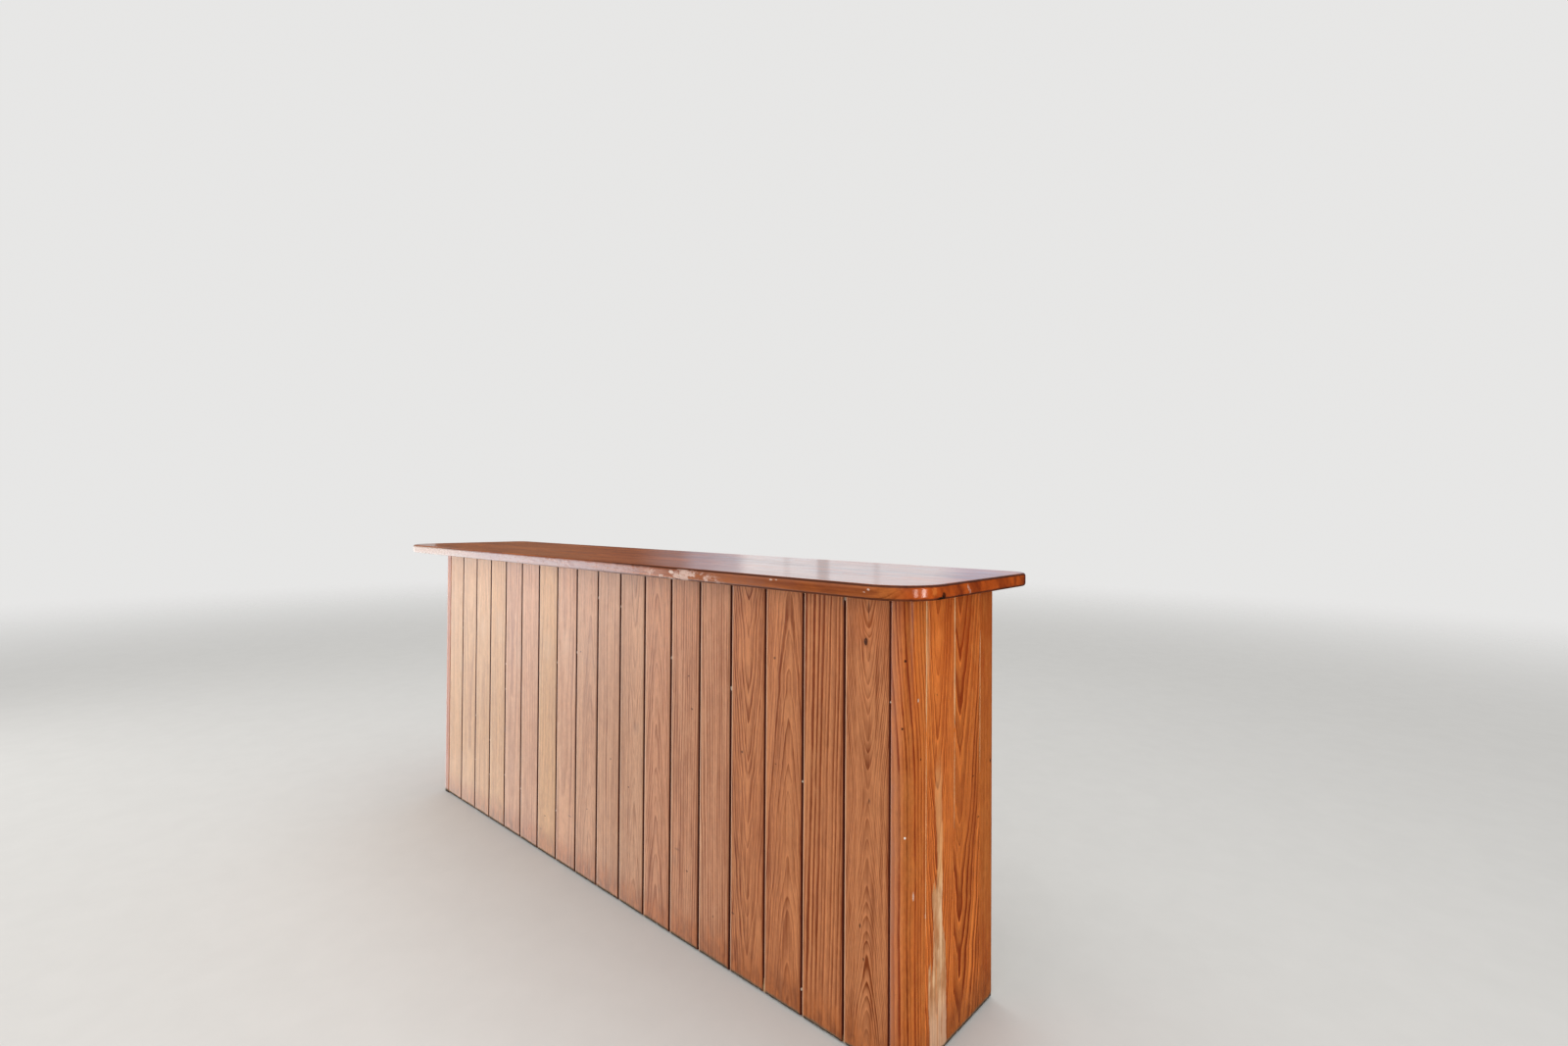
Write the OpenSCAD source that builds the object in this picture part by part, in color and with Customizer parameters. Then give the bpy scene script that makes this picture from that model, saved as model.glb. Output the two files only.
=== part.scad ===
// Free-standing bar counter clad with vertical tongue-and-groove boards.
// Origin: centre of the footprint of the whole counter, on the floor.
// +X runs along the counter, -Y is the guests' side, +Y is the working side.

/* [Countertop] */
// Length of the countertop
top_l = 2638; // [2600:1:2680]
// Depth of the countertop, over its four planks
top_w = 560; // [552:1:570]
// Thickness of the countertop planks
top_t = 33; // [28:1:40]
// Plan radius of the two corners on the guests' side
top_r_front = 115; // [60:1:130]
// Plan radius of the two corners on the working side
top_r_back = 50; // [20:1:80]
// Radius of the rounded upper and lower edges
top_edge_r = 8; // [3:1:12]
// Overhang of the countertop on the guests' side
overhang_front = 141; // [110:1:150]

/* [Body] */
// Height of the counter, floor to upper surface
counter_h = 1108; // [1050:1:1150]
// Depth of the body, board face to back of the frame
body_d = 395; // [390:1:400]
// Height of the board ends above the floor
board_lift = 4; // [2:1:8]

/* [Boards] */
// Distance from one front board to the next
board_pitch = 130; // [128:1:132]
// Thickness of the boards
board_t = 19; // [18:1:20]
// Open gap between the faces of two front boards
front_gap = 2.5; // [1:0.5:4]
// Width of the bevel along each edge of a front board
front_bevel = 2.5; // [1:0.5:3.5]
// Gap between the faces of two end boards
end_gap = 0.6; // [0.4:0.1:1]
// Width of the bevel along each edge of an end board
end_bevel = 0.5; // [0.3:0.1:1]

/* [Corner posts] */
// Width of a corner post on the guests' side
post_w = 53; // [44:1:60]
// Depth of a corner post on the end
post_d = 67; // [62:1:75]
// Radius of the rounded outer corner
post_r = 22; // [12:1:30]

/* [Frame] */
// Thickness of the rails and studs
rail_t = 38; // [35:1:40]
// Height of the rails and width of the studs
rail_w = 89; // [80:1:95]
// Height of the top of the middle rails
shelf_z = 589; // [450:1:700]
// Distance of the inner studs from the middle of the counter
stud_x = 400; // [350:1:450]
// Depth of the shelf board
shelf_d = 280; // [250:1:281]
// Thickness of the shelf board
shelf_t = 19; // [18:1:22]

/* [Hidden] */

board_n = 18;                                     // boards on the guests' side
body_l = board_n * board_pitch + 2 * post_w;      // length of the body
y_front = -top_w / 2 + overhang_front;            // face of the front boards
y_back = y_front + body_d;                        // back of the frame
body_h = counter_h - top_t;                       // underside of the countertop
x_in = body_l / 2 - board_t;                      // inner face of the end boards
x_post = body_l / 2 - post_w;                     // inner face of the corner posts
y_rf = y_front + board_t;                         // front of the front rails
y_rb = y_back - rail_t;                           // front of the back rails
plank_gap = 0.4;                                  // hairline seam between planks
tongue_t = 6;                                     // tongue thickness
tongue_y = 7;                                     // tongue distance from the face
tongue_l = 6;                                     // tongue length
play = 0.3;                                       // play of the tongue in the groove
plank_n = 4;                                      // planks in the countertop
$fn = 64;

front_c = [0.80, 0.55, 0.38];
end_c = [0.76, 0.42, 0.20];
top_c = [0.56, 0.27, 0.15];
frame_c = [0.82, 0.68, 0.47];

// One board in plan: face at y = 0, from x = 0 to x = w, tongue on the far side.
module board_section(w, gap, bevel, tongue = true, groove = true) {
    a = gap / 2;
    b = w - gap / 2;
    t1 = tongue_y;
    t2 = tongue_y + tongue_t;
    polygon(concat(
        [[a, bevel], [a + bevel, 0], [b - bevel, 0], [b, bevel]],
        tongue ? [[b, t1], [b + tongue_l, t1], [b + tongue_l, t2], [b, t2]] : [],
        [[b, board_t], [a, board_t]],
        groove ? [[a, t2 + play], [a + tongue_l + play, t2 + play],
                  [a + tongue_l + play, t1 - play], [a, t1 - play]] : []));
}

module upright(h0 = board_lift) {
    translate([0, 0, h0]) linear_extrude(body_h - h0) children();
}

module front_board(i) {
    color(front_c) translate([-x_post + (i - 1) * board_pitch, y_front, 0])
        upright() board_section(board_pitch, front_gap, front_bevel,
                                tongue = i < board_n, groove = i > 1);
}

// End boards of the right end: 1 and 2 are whole, 3 is ripped to what is left.
module end_board(k) {
    rest = body_d - post_d - 2 * board_pitch;
    w = k == 3 ? rest : board_pitch;
    color(end_c) translate([body_l / 2, y_front + post_d + (k - 1) * board_pitch, 0])
        rotate([0, 0, 90]) upright()
            board_section(w, end_gap, end_bevel, tongue = k < 3, groove = k > 1);
}

// Right corner post, rounded where the two visible faces meet.
module corner_post() {
    color(end_c) translate([0, 0, 0]) linear_extrude(body_h) {
        translate([body_l / 2 - post_w, y_front + post_r]) square([post_w, post_d - post_r]);
        translate([body_l / 2 - post_w, y_front]) square([post_w - post_r, post_r + 1]);
        translate([body_l / 2 - post_r, y_front + post_r]) circle(post_r);
    }
}

// Plank section in the plane of its long edges: u from -a to b, rounded at both ends.
module edge_section(a, b) {
    r = top_edge_r;
    translate([-a, r]) square([a + b, top_t - 2 * r]);
    translate([-a + r, 0]) square([a + b - 2 * r, top_t]);
    for (u = [-a + r, b - r], v = [r, top_t - r]) translate([u, v]) circle(r);
}

// Round corner of the countertop: a disc of radius big with rounded edges.
module corner_disc(big) {
    r = top_edge_r;
    rotate_extrude($fn = 72) {
        translate([big - r, r]) circle(r, $fn = 20);
        square([big - r, top_t]);
        translate([0, r]) square([big, top_t - 2 * r]);
    }
}

// Stretch of the countertop from y0 to y1 with straight, rounded ends.
module straight_stretch(y0, y1)
    translate([0, y1, 0]) rotate([90, 0, 0]) linear_extrude(y1 - y0)
        edge_section(top_l / 2, top_l / 2, $fn = 20);

// Planks are numbered from the guests' side. The outer two carry the corners.
module top_plank(k) {
    w = top_w / plank_n;
    lo = -top_w / 2 + (k - 1) * w + plank_gap / 2;
    hi = -top_w / 2 + k * w - plank_gap / 2;
    color(top_c) translate([0, 0, body_h]) {
        if (k == 1) hull() {
            straight_stretch(hi - 1, hi);
            for (s = [-1, 1])
                translate([s * (top_l / 2 - top_r_front), -top_w / 2 + top_r_front, 0])
                    corner_disc(top_r_front);
        }
        else if (k == plank_n) hull() {
            straight_stretch(lo, lo + 1);
            for (s = [-1, 1])
                translate([s * (top_l / 2 - top_r_back), top_w / 2 - top_r_back, 0])
                    corner_disc(top_r_back);
        }
        else translate([0, hi, 0]) rotate([90, 0, 0]) linear_extrude(hi - lo)
            edge_section(top_l / 2, top_l / 2);
    }
}

// Rail on edge from x0 to x1, with its front face at y0 and its lower edge at z0.
module rail(x0, x1, y0, z0) {
    color(frame_c) translate([x0, y0, z0]) cube([x1 - x0, rail_t, rail_w]);
}

// Stud between the bottom and top rails, centred on x.
module stud(x, y0) {
    color(frame_c) translate([x - rail_w / 2, y0, rail_w])
        cube([rail_w, rail_t, body_h - 2 * rail_w]);
}

// Short rail from front to back, with its near face at x0.
module short_rail(x0, y0, y1, z0) {
    color(frame_c) translate([x0, y0, z0]) cube([rail_t, y1 - y0, rail_w]);
}

module bottom_rail_front() rail(-x_post, x_post, y_rf, 0);
module top_rail_front() rail(-x_post, x_post, y_rf, body_h - rail_w);
module middle_rails_front() {
    e = stud_x + rail_w / 2;
    rail(-x_post, -e, y_rf, shelf_z - rail_w);
    rail(-stud_x + rail_w / 2, stud_x - rail_w / 2, y_rf, shelf_z - rail_w);
    rail(e, x_post, y_rf, shelf_z - rail_w);
}
module studs_front() for (s = [-1, 1]) stud(s * stud_x, y_rf);
module bottom_rail_back() rail(-x_in, x_in, y_rb, 0);
module top_rail_back() rail(-x_in, x_in, y_rb, body_h - rail_w);
module studs_back()
    for (x = [-x_in + rail_w / 2, -stud_x, stud_x, x_in - rail_w / 2]) stud(x, y_rb);
module end_rails()
    for (z = [0, shelf_z - rail_w, body_h - rail_w])
        short_rail(x_in - rail_t, y_front + post_d, y_rb, z);
module cross_rails()
    for (s = [-1, 1], z = [shelf_z - rail_w, body_h - rail_w])
        short_rail(s * stud_x - rail_t / 2, y_rf + rail_t, y_rb, z);
module shelf()
    color(frame_c) translate([-x_in + 2, y_rb - 1 - shelf_d, shelf_z])
        cube([2 * x_in - 4, shelf_d, shelf_t]);

module flip() mirror([1, 0, 0]) children();

front_board(1);  // front_board_01
front_board(2);  // front_board_02
front_board(3);  // front_board_03
front_board(4);  // front_board_04
front_board(5);  // front_board_05
front_board(6);  // front_board_06
front_board(7);  // front_board_07
front_board(8);  // front_board_08
front_board(9);  // front_board_09
front_board(10);  // front_board_10
front_board(11);  // front_board_11
front_board(12);  // front_board_12
front_board(13);  // front_board_13
front_board(14);  // front_board_14
front_board(15);  // front_board_15
front_board(16);  // front_board_16
front_board(17);  // front_board_17
front_board(18);  // front_board_18
flip() corner_post();  // corner_post_left
corner_post();  // corner_post_right
flip() end_board(1);  // end_board_left_1
flip() end_board(2);  // end_board_left_2
flip() end_board(3);  // end_board_left_3
end_board(1);  // end_board_right_1
end_board(2);  // end_board_right_2
end_board(3);  // end_board_right_3
top_plank(1);  // top_plank_1
top_plank(2);  // top_plank_2
top_plank(3);  // top_plank_3
top_plank(4);  // top_plank_4
bottom_rail_front();
middle_rails_front();
top_rail_front();
studs_front();
bottom_rail_back();
top_rail_back();
studs_back();
flip() end_rails();  // end_rails_left
end_rails();  // end_rails_right
cross_rails();
shelf();
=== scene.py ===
import math
import random

import bmesh
import bpy
from mathutils import Matrix, Vector, noise


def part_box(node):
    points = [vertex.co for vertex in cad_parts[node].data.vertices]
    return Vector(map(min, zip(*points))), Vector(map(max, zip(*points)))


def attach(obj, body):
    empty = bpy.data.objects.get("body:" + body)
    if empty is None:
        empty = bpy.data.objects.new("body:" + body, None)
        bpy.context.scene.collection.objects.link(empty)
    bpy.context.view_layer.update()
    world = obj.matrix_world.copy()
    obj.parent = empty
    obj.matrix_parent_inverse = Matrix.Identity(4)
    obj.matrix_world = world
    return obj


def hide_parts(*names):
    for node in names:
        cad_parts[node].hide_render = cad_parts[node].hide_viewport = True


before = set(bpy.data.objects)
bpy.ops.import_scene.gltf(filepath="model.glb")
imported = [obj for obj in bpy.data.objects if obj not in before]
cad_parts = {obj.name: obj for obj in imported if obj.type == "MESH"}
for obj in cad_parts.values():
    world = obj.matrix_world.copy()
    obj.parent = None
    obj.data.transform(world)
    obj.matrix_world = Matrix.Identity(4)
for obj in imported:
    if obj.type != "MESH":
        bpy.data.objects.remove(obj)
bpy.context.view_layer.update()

MM = 0.001


# ---------------------------------------------------------------- small helpers

def n1(*p):
    """Smooth noise from -1 to 1 at a point, the same on every run."""
    p = list(p) + [0.0] * (3 - len(p))
    return noise.noise(Vector(p))


def ease(x, a, b):
    t = min(1.0, max(0.0, (x - a) / (b - a)))
    return t * t * (3 - 2 * t)


def new_object(name, bm, material, slot=None, angle=32):
    """Turns a bmesh into a smooth-shaded object that rides on the body."""
    bmesh.ops.recalc_face_normals(bm, faces=bm.faces)
    limit = math.radians(angle)
    for e in bm.edges:
        e.smooth = not (len(e.link_faces) == 2 and e.calc_face_angle(0.0) > limit)
    for f in bm.faces:
        f.smooth = True
    mesh = bpy.data.meshes.new(name)
    bm.to_mesh(mesh)
    bm.free()
    mesh.materials.append(material)
    obj = bpy.data.objects.new(name, mesh)
    bpy.context.scene.collection.objects.link(obj)
    if slot:
        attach(obj, "root")
    return obj


# ---------------------------------------------------------------- shader helpers

class Tree:
    """Adds shader nodes to a material and returns their sockets."""

    def __init__(self, name):
        self.mat = bpy.data.materials.new(name)
        self.mat.use_nodes = True
        self.nt = self.mat.node_tree
        self.nt.nodes.clear()

    def node(self, kind, **props):
        n = self.nt.nodes.new(kind)
        for k, v in props.items():
            setattr(n, k, v)
        return n

    def put(self, socket, value):
        if isinstance(value, bpy.types.NodeSocket):
            self.nt.links.new(value, socket)
        else:
            socket.default_value = value

    def math(self, op, *args, clamp=False):
        n = self.node("ShaderNodeMath", operation=op, use_clamp=clamp)
        for i, a in enumerate(args):
            self.put(n.inputs[i], a)
        return n.outputs[0]

    def add(self, a, b):
        return self.math("ADD", a, b)

    def sub(self, a, b):
        return self.math("SUBTRACT", a, b)

    def mul(self, a, b):
        return self.math("MULTIPLY", a, b)

    def span(self, x, a, b, lo=0.0, hi=1.0, smooth=True):
        n = self.node("ShaderNodeMapRange",
                      interpolation_type="SMOOTHSTEP" if smooth else "LINEAR", clamp=True)
        self.put(n.inputs["Value"], x)
        self.put(n.inputs["From Min"], a)
        self.put(n.inputs["From Max"], b)
        self.put(n.inputs["To Min"], lo)
        self.put(n.inputs["To Max"], hi)
        return n.outputs["Result"]

    def scaled(self, vec, scale, move=(0.0, 0.0, 0.0)):
        n = self.node("ShaderNodeMapping", vector_type="POINT")
        self.put(n.inputs["Vector"], vec)
        n.inputs["Scale"].default_value = scale
        n.inputs["Location"].default_value = move
        return n.outputs["Vector"]

    def noise(self, vec, freq, seed, detail=2.0, rough=0.5, distort=0.0):
        """Noise around 0, about -1 to 1, with freq cycles per metre along each axis."""
        n = self.node("ShaderNodeTexNoise", noise_dimensions="3D")
        self.put(n.inputs["Vector"], self.scaled(vec, freq, (seed * 1.37, seed * 2.11, seed * 3.7)))
        n.inputs["Scale"].default_value = 1.0
        n.inputs["Detail"].default_value = detail
        n.inputs["Roughness"].default_value = rough
        n.inputs["Distortion"].default_value = distort
        return self.mul(self.sub(n.outputs["Fac"], 0.5), 2.6)

    def noise1(self, x, freq, seed, detail=1.0):
        n = self.node("ShaderNodeTexNoise", noise_dimensions="1D")
        self.put(n.inputs["W"], self.math("MULTIPLY_ADD", x, freq, seed))
        n.inputs["Scale"].default_value = 1.0
        n.inputs["Detail"].default_value = detail
        return self.mul(self.sub(n.outputs["Fac"], 0.5), 2.6)

    def mix(self, f, a, b, blend="MIX"):
        n = self.node("ShaderNodeMix", data_type="RGBA", blend_type=blend)
        self.put(n.inputs[0], f)
        self.put(n.inputs[6], a if isinstance(a, bpy.types.NodeSocket) else (*a, 1.0))
        self.put(n.inputs[7], b if isinstance(b, bpy.types.NodeSocket) else (*b, 1.0))
        return n.outputs[2]

    def curve(self, x, points, x_range, y_range):
        """Straight lines between hand-set points (x, y)."""
        n = self.node("ShaderNodeFloatCurve")
        c = n.mapping.curves[0]
        unit = [((a - x_range[0]) / (x_range[1] - x_range[0]), (b - y_range[0]) / (y_range[1] - y_range[0]))
                for a, b in sorted(points)]
        c.points[0].location, c.points[1].location = unit[0], unit[-1]
        for a, b in unit[1:-1]:
            c.points.new(a, b)
        for q in c.points:
            q.handle_type = "VECTOR"
        n.mapping.update()
        self.put(n.inputs["Value"], self.span(x, *x_range, smooth=False))
        return self.math("MULTIPLY_ADD", n.outputs[0], y_range[1] - y_range[0], y_range[0])

    def gain(self, colour, factor):
        """colour times a grey factor that varies over the surface."""
        n = self.node("ShaderNodeVectorMath", operation="SCALE")
        self.put(n.inputs[0], colour)
        self.put(n.inputs["Scale"], factor)
        return n.outputs[0]

    def spot(self, vec, centre, half, inner=0.55, outer=1.0):
        """1 inside an ellipse of half-sizes half round centre, 0 outside. A half-size of 0 ignores that axis."""
        s = tuple(1.0 / h if h else 0.0 for h in half)
        v = self.scaled(vec, s, tuple(-c * k for c, k in zip(centre, s)))
        n = self.node("ShaderNodeVectorMath", operation="LENGTH")
        self.put(n.inputs[0], v)
        return self.span(n.outputs["Value"], outer, inner), n.outputs["Value"]

    def bump(self, height, strength, distance, normal=None):
        n = self.node("ShaderNodeBump")
        n.inputs["Strength"].default_value = strength
        n.inputs["Distance"].default_value = distance
        self.put(n.inputs["Height"], height)
        if normal is not None:
            self.put(n.inputs["Normal"], normal)
        return n.outputs["Normal"]

    def surface(self, colour, roughness, normal, **fixed):
        p = self.node("ShaderNodeBsdfPrincipled")
        self.put(p.inputs["Base Color"], colour)
        self.put(p.inputs["Roughness"], roughness)
        if normal is not None:
            self.put(p.inputs["Normal"], normal)
        for k, v in fixed.items():
            p.inputs[k.replace("_", " ")].default_value = v
        out = self.node("ShaderNodeOutputMaterial")
        self.nt.links.new(p.outputs[0], out.inputs[0])
        return self.mat


# ---------------------------------------------------------------- wood

# Linear colours for each kind of wood here: light and dark part of a growth ring, then the duller
# and the warmer cast that drift over it.
TONES = {
    "orange": ((0.820, 0.228, 0.043), (0.320, 0.045, 0.0065), (0.520, 0.108, 0.020), (0.900, 0.335, 0.085)),
    "amber": ((0.658, 0.362, 0.170), (0.388, 0.158, 0.056), (0.432, 0.249, 0.146), (0.725, 0.452, 0.243)),
    "brown": ((0.579, 0.301, 0.171), (0.250, 0.073, 0.0185), (0.366, 0.181, 0.108), (0.640, 0.362, 0.213)),
    "umber": ((0.571, 0.262, 0.138), (0.248, 0.063, 0.0142), (0.361, 0.157, 0.085), (0.630, 0.318, 0.173)),
    "russet": ((0.545, 0.206, 0.081), (0.205, 0.038, 0.0056), (0.330, 0.117, 0.049), (0.610, 0.264, 0.114)),
    "top": ((0.430, 0.118, 0.026), (0.125, 0.021, 0.004), (0.230, 0.055, 0.014), (0.540, 0.175, 0.042)),
    "bare": ((0.560, 0.370, 0.185), (0.390, 0.215, 0.090), (0.430, 0.290, 0.160), (0.620, 0.430, 0.240)),
}
# dirt and painted shade in the joints
DIRT_AND_SHADE = (0.070, 0.0075, 0.0012)
SPECK = (0.050, 0.012, 0.005)
# painted sheen: the pale patches on the left front boards
PALE_SHEEN = (0.700, 0.540, 0.400)


def wood(name, place, tone, spacing, pith, tilt=(0.0, 0.0), taper=0.0, sway=4.0, wave=2.5, uneven=0.30,
         contrast=1.0, fine=1.0, lift=1.0, blotch=1.0, late=(0.42, 0.80), knots=(), specks=(), dots=(), seed=0.0,
         gloss=0.34, finish="satin", worn=False, back=None, sap=None, patches=(), bump=1.0, joint=None, milky=None,
         rim=False, sheen_tint=None, breadth=0.0, bend=0.0, turn=None,
         glow=0.0, phase=0.0, shade_levels=None, swerve=None, inside=None, dirt_and_shade=DIRT_AND_SHADE):
    """A solid wood: growth rings round a pith line, cut by the faces of the piece.

    place gives (u, d, w): u across the board from its middle, d down from its face, w along it,
    each as (axis, sign, offset). pith is the pith's place in millimetres, across and below the
    face, tilt how far it leans in millimetres a metre, sway how far its depth wanders, and taper
    how much the rings narrow along the board, from the height turn both ways if that is given.
    bend straightens the arms of the pointed figure away from its middle, phase shifts it along the
    board, and glow lightens the young wood of each ring. swerve shifts the grain sideways towards
    the top, levels paint light and shading across the piece, and inside leaves it unvarnished on
    the faces that look into the frame. joint is where the darkening of the joint starts, soiled
    varnish with painted shading, in millimetres left and right of the middle. specks and patches
    run through the piece, dots are places in it, across, down and along."""
    t = Tree(name)
    seed = float(seed) + 3.1
    pos = t.node("ShaderNodeTexCoord").outputs["Object"]
    sep = t.node("ShaderNodeSeparateXYZ")
    t.put(sep.inputs[0], pos)
    udw = []
    for axis, sign, offset in place:
        udw.append(t.math("MULTIPLY_ADD", sep.outputs[axis], sign, offset))
    u, d, w = udw
    comb = t.node("ShaderNodeCombineXYZ")
    for i in range(3):
        t.put(comb.inputs[i], udw[i])
    q = comb.outputs[0]

    # the line of the pith, and the distance from it
    wander = t.mul(t.noise1(w, 2.3, seed * 5.7, 2.0), sway * MM)
    across = t.sub(u, t.math("MULTIPLY_ADD", w, tilt[0] * MM, pith[0] * MM))
    if swerve:
        across = t.add(across, t.span(w, swerve[0], swerve[1], 0.0, swerve[2] * MM))
    below = t.sub(t.math("MULTIPLY_ADD", w, tilt[1] * MM, pith[1] * MM), d)
    below = t.add(below, wander)
    r = t.math("SQRT", t.add(t.mul(across, across), t.mul(below, below)))
    if bend:
        r = t.math("MULTIPLY_ADD", t.mul(r, r), 0.5 / (bend * MM), r)
    if taper:
        along = w
        if turn is not None:
            along = t.sub(w, turn)
            along = t.math("SQRT", t.math("MULTIPLY_ADD", along, along, 0.0016))
        r = t.math("MULTIPLY_ADD", along, taper, r)
        r = t.math("MULTIPLY_ADD", t.noise1(w, 6.5, seed * 2.3, 2.0), 0.42 * spacing * MM, r)
    r = t.math("MULTIPLY_ADD", t.noise(q, (13.0, 13.0, 2.4), seed, 2.0), wave * MM, r)
    r = t.math("MULTIPLY_ADD", t.noise(q, (34.0, 34.0, 6.5), seed + 3, 2.0), wave * 0.42 * MM, r)
    r = t.math("MULTIPLY_ADD", t.noise(q, (90.0, 90.0, 13.0), seed + 7, 3.0, 0.6), 0.075 * spacing * MM, r)
    for ku, kw, kr, kl, push in knots:
        _, k = t.spot(q, (ku * MM, 0, kw), (kr * MM * 2.6, 0, kl * MM * 3.2))
        g = t.math("EXPONENT", t.mul(t.mul(k, k), -1.0))
        r = t.math("MULTIPLY_ADD", g, push * MM, r)
    s = t.math("MULTIPLY_ADD", r, 1.0 / (spacing * MM), seed * 0.61 + phase)
    s = t.math("MULTIPLY_ADD", t.noise1(r, 55.0, seed * 1.9, 1.0), uneven, s)
    ring = t.math("FLOOR", s)
    f = t.math("FRACT", s)
    dark = t.mul(t.span(f, late[0], late[1]), t.span(f, 1.0, 0.92))
    young = t.span(f, 0.36, 0.03)
    rnd = t.node("ShaderNodeTexWhiteNoise", noise_dimensions="1D")
    t.put(rnd.inputs["W"], t.add(ring, seed * 13.0))
    dark = t.mul(dark, t.math("MULTIPLY_ADD", rnd.outputs["Value"], 0.80, 0.25))
    shows = t.span(t.noise(q, (11.0, 11.0, 3.2), seed + 24, 2.0), -0.60, 0.45, 0.45, 1.08)
    dark = t.mul(dark, shows)

    # fibres, flecks, resin dashes and slow changes of tone
    fibre = t.noise(q, (480.0, 480.0, 15.0), seed + 11, 3.0, 0.6)
    streak = t.noise(q, (70.0, 70.0, 2.4), seed + 13, 3.0, 0.62)
    thread = t.noise(q, (190.0, 190.0, 2.6), seed + 14, 2.0, 0.6)
    band = t.noise(q, (26.0, 26.0, 1.3), seed + 12, 2.0, 0.5)
    crack = t.math("ABSOLUTE", t.noise(q, (52.0, 52.0, 2.6), seed + 18, 2.0, 0.5))
    crack = t.mul(t.span(crack, 0.16, 0.03), t.span(t.noise(q, (30.0, 30.0, 7.0), seed + 20, 2.0), -0.3, 0.7))
    fleck = t.noise(q, (260.0, 260.0, 62.0), seed + 15, 3.0, 0.65)
    figure = t.noise(q, (75.0, 75.0, 15.0), seed + 16, 3.0, 0.6)
    slow = t.noise(q, (9.0, 9.0, 3.0), seed + 17, 3.0, 0.55)
    mottle = t.noise(q, (38.0, 38.0, 17.0), seed + 19, 4.0, 0.65)
    dash = t.noise(q, (900.0, 900.0, 42.0), seed + 23, 1.0)
    dash = t.span(dash, 0.62, 0.95)

    early, latewood, dull, warm = TONES[tone]
    amount = t.mul(dark, contrast)
    amount = t.math("MULTIPLY_ADD", f, 0.14 * contrast, amount)
    amount = t.math("MULTIPLY_ADD", young, -0.20 * contrast, amount)
    amount = t.math("MULTIPLY_ADD", streak, 0.38 * fine, amount)
    amount = t.math("MULTIPLY_ADD", thread, 0.50 * fine, amount)
    amount = t.math("MULTIPLY_ADD", band, 0.26 * fine, amount)
    amount = t.math("MULTIPLY_ADD", crack, 0.34 * fine, amount)
    amount = t.math("MULTIPLY_ADD", figure, 0.15 * blotch, amount)
    amount = t.math("MULTIPLY_ADD", mottle, 0.13 * blotch, amount)
    if breadth:                               # broad figure, seen where the surface is looked along
        amount = t.math("MULTIPLY_ADD", t.noise(q, (17.0, 17.0, 3.4), seed + 27, 3.0, 0.6), breadth, amount)
    amount = t.math("ADD", amount, 0.12, clamp=True)
    colour = t.mix(amount, early, latewood)
    # here and there a greyer or a warmer cast, as old varnish has
    drift = t.add(t.math("MULTIPLY_ADD", band, 0.7, mottle), t.mul(slow, 0.8))
    colour = t.mix(t.span(drift, -0.15, 1.15, 0.0, 0.36), colour, dull)
    colour = t.mix(t.span(drift, 0.10, -1.10, 0.0, 0.30), colour, warm)
    if sheen_tint:                                 # painted sheen: a bluer, pinker tint multiplied over one side
        m = t.span(t.math("MULTIPLY_ADD", streak, 2.5 * MM, u), sheen_tint[1] * MM, sheen_tint[0] * MM)
        colour = t.mix(m, colour, sheen_tint[2], "MULTIPLY")
    grey = t.math("MULTIPLY_ADD", fibre, 0.20, 1.0)
    if glow:
        grey = t.math("MULTIPLY_ADD", t.mul(t.span(f, 0.42, 0.05), shows), glow, grey)
    # painted light and shade: the colour made lighter or darker across the piece
    if shade_levels:
        grey = t.mul(grey, t.curve(u, shade_levels, (-0.030, 0.030), (0.0, 1.5)))
    grey = t.math("MULTIPLY_ADD", fleck, 0.20, grey)
    grey = t.math("MULTIPLY_ADD", slow, 0.11 * blotch, grey)
    if worn:                                  # painted light: lighter towards the top, where the top's overhang would shade it
        grey = t.mul(grey, t.add(t.span(w, 0.70, 1.02, 0.955, 1.11), t.span(w, 0.50, 0.10, 0.0, 0.03)))
    grey = t.math("MULTIPLY_ADD", dash, -0.28, grey)
    colour = t.gain(colour, t.mul(grey, lift))
    rough = t.math("MULTIPLY_ADD", dark, -0.05, gloss)
    rough = t.math("MULTIPLY_ADD", slow, 0.05, rough)
    rough = t.math("MULTIPLY_ADD", mottle, 0.03, rough)
    rough = t.math("MULTIPLY_ADD", fibre, 0.02, rough)
    height = t.math("MULTIPLY_ADD", dark, 0.55, t.mul(fibre, 0.34))
    height = t.math("MULTIPLY_ADD", fleck, 0.22, height)
    height = t.math("MULTIPLY_ADD", dash, -0.5, height)

    shaken = t.node("ShaderNodeVectorMath", operation="ADD")
    wob = t.node("ShaderNodeCombineXYZ")
    t.put(wob.inputs[0], t.mul(t.noise(q, (160.0, 160.0, 120.0), seed + 29, 2.0), 1.3 * MM))
    t.put(wob.inputs[2], t.mul(t.noise(q, (120.0, 120.0, 90.0), seed + 31, 2.0), 2.0 * MM))
    t.put(shaken.inputs[0], q)
    t.put(shaken.inputs[1], wob.outputs[0])
    qs = shaken.outputs[0]

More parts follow.
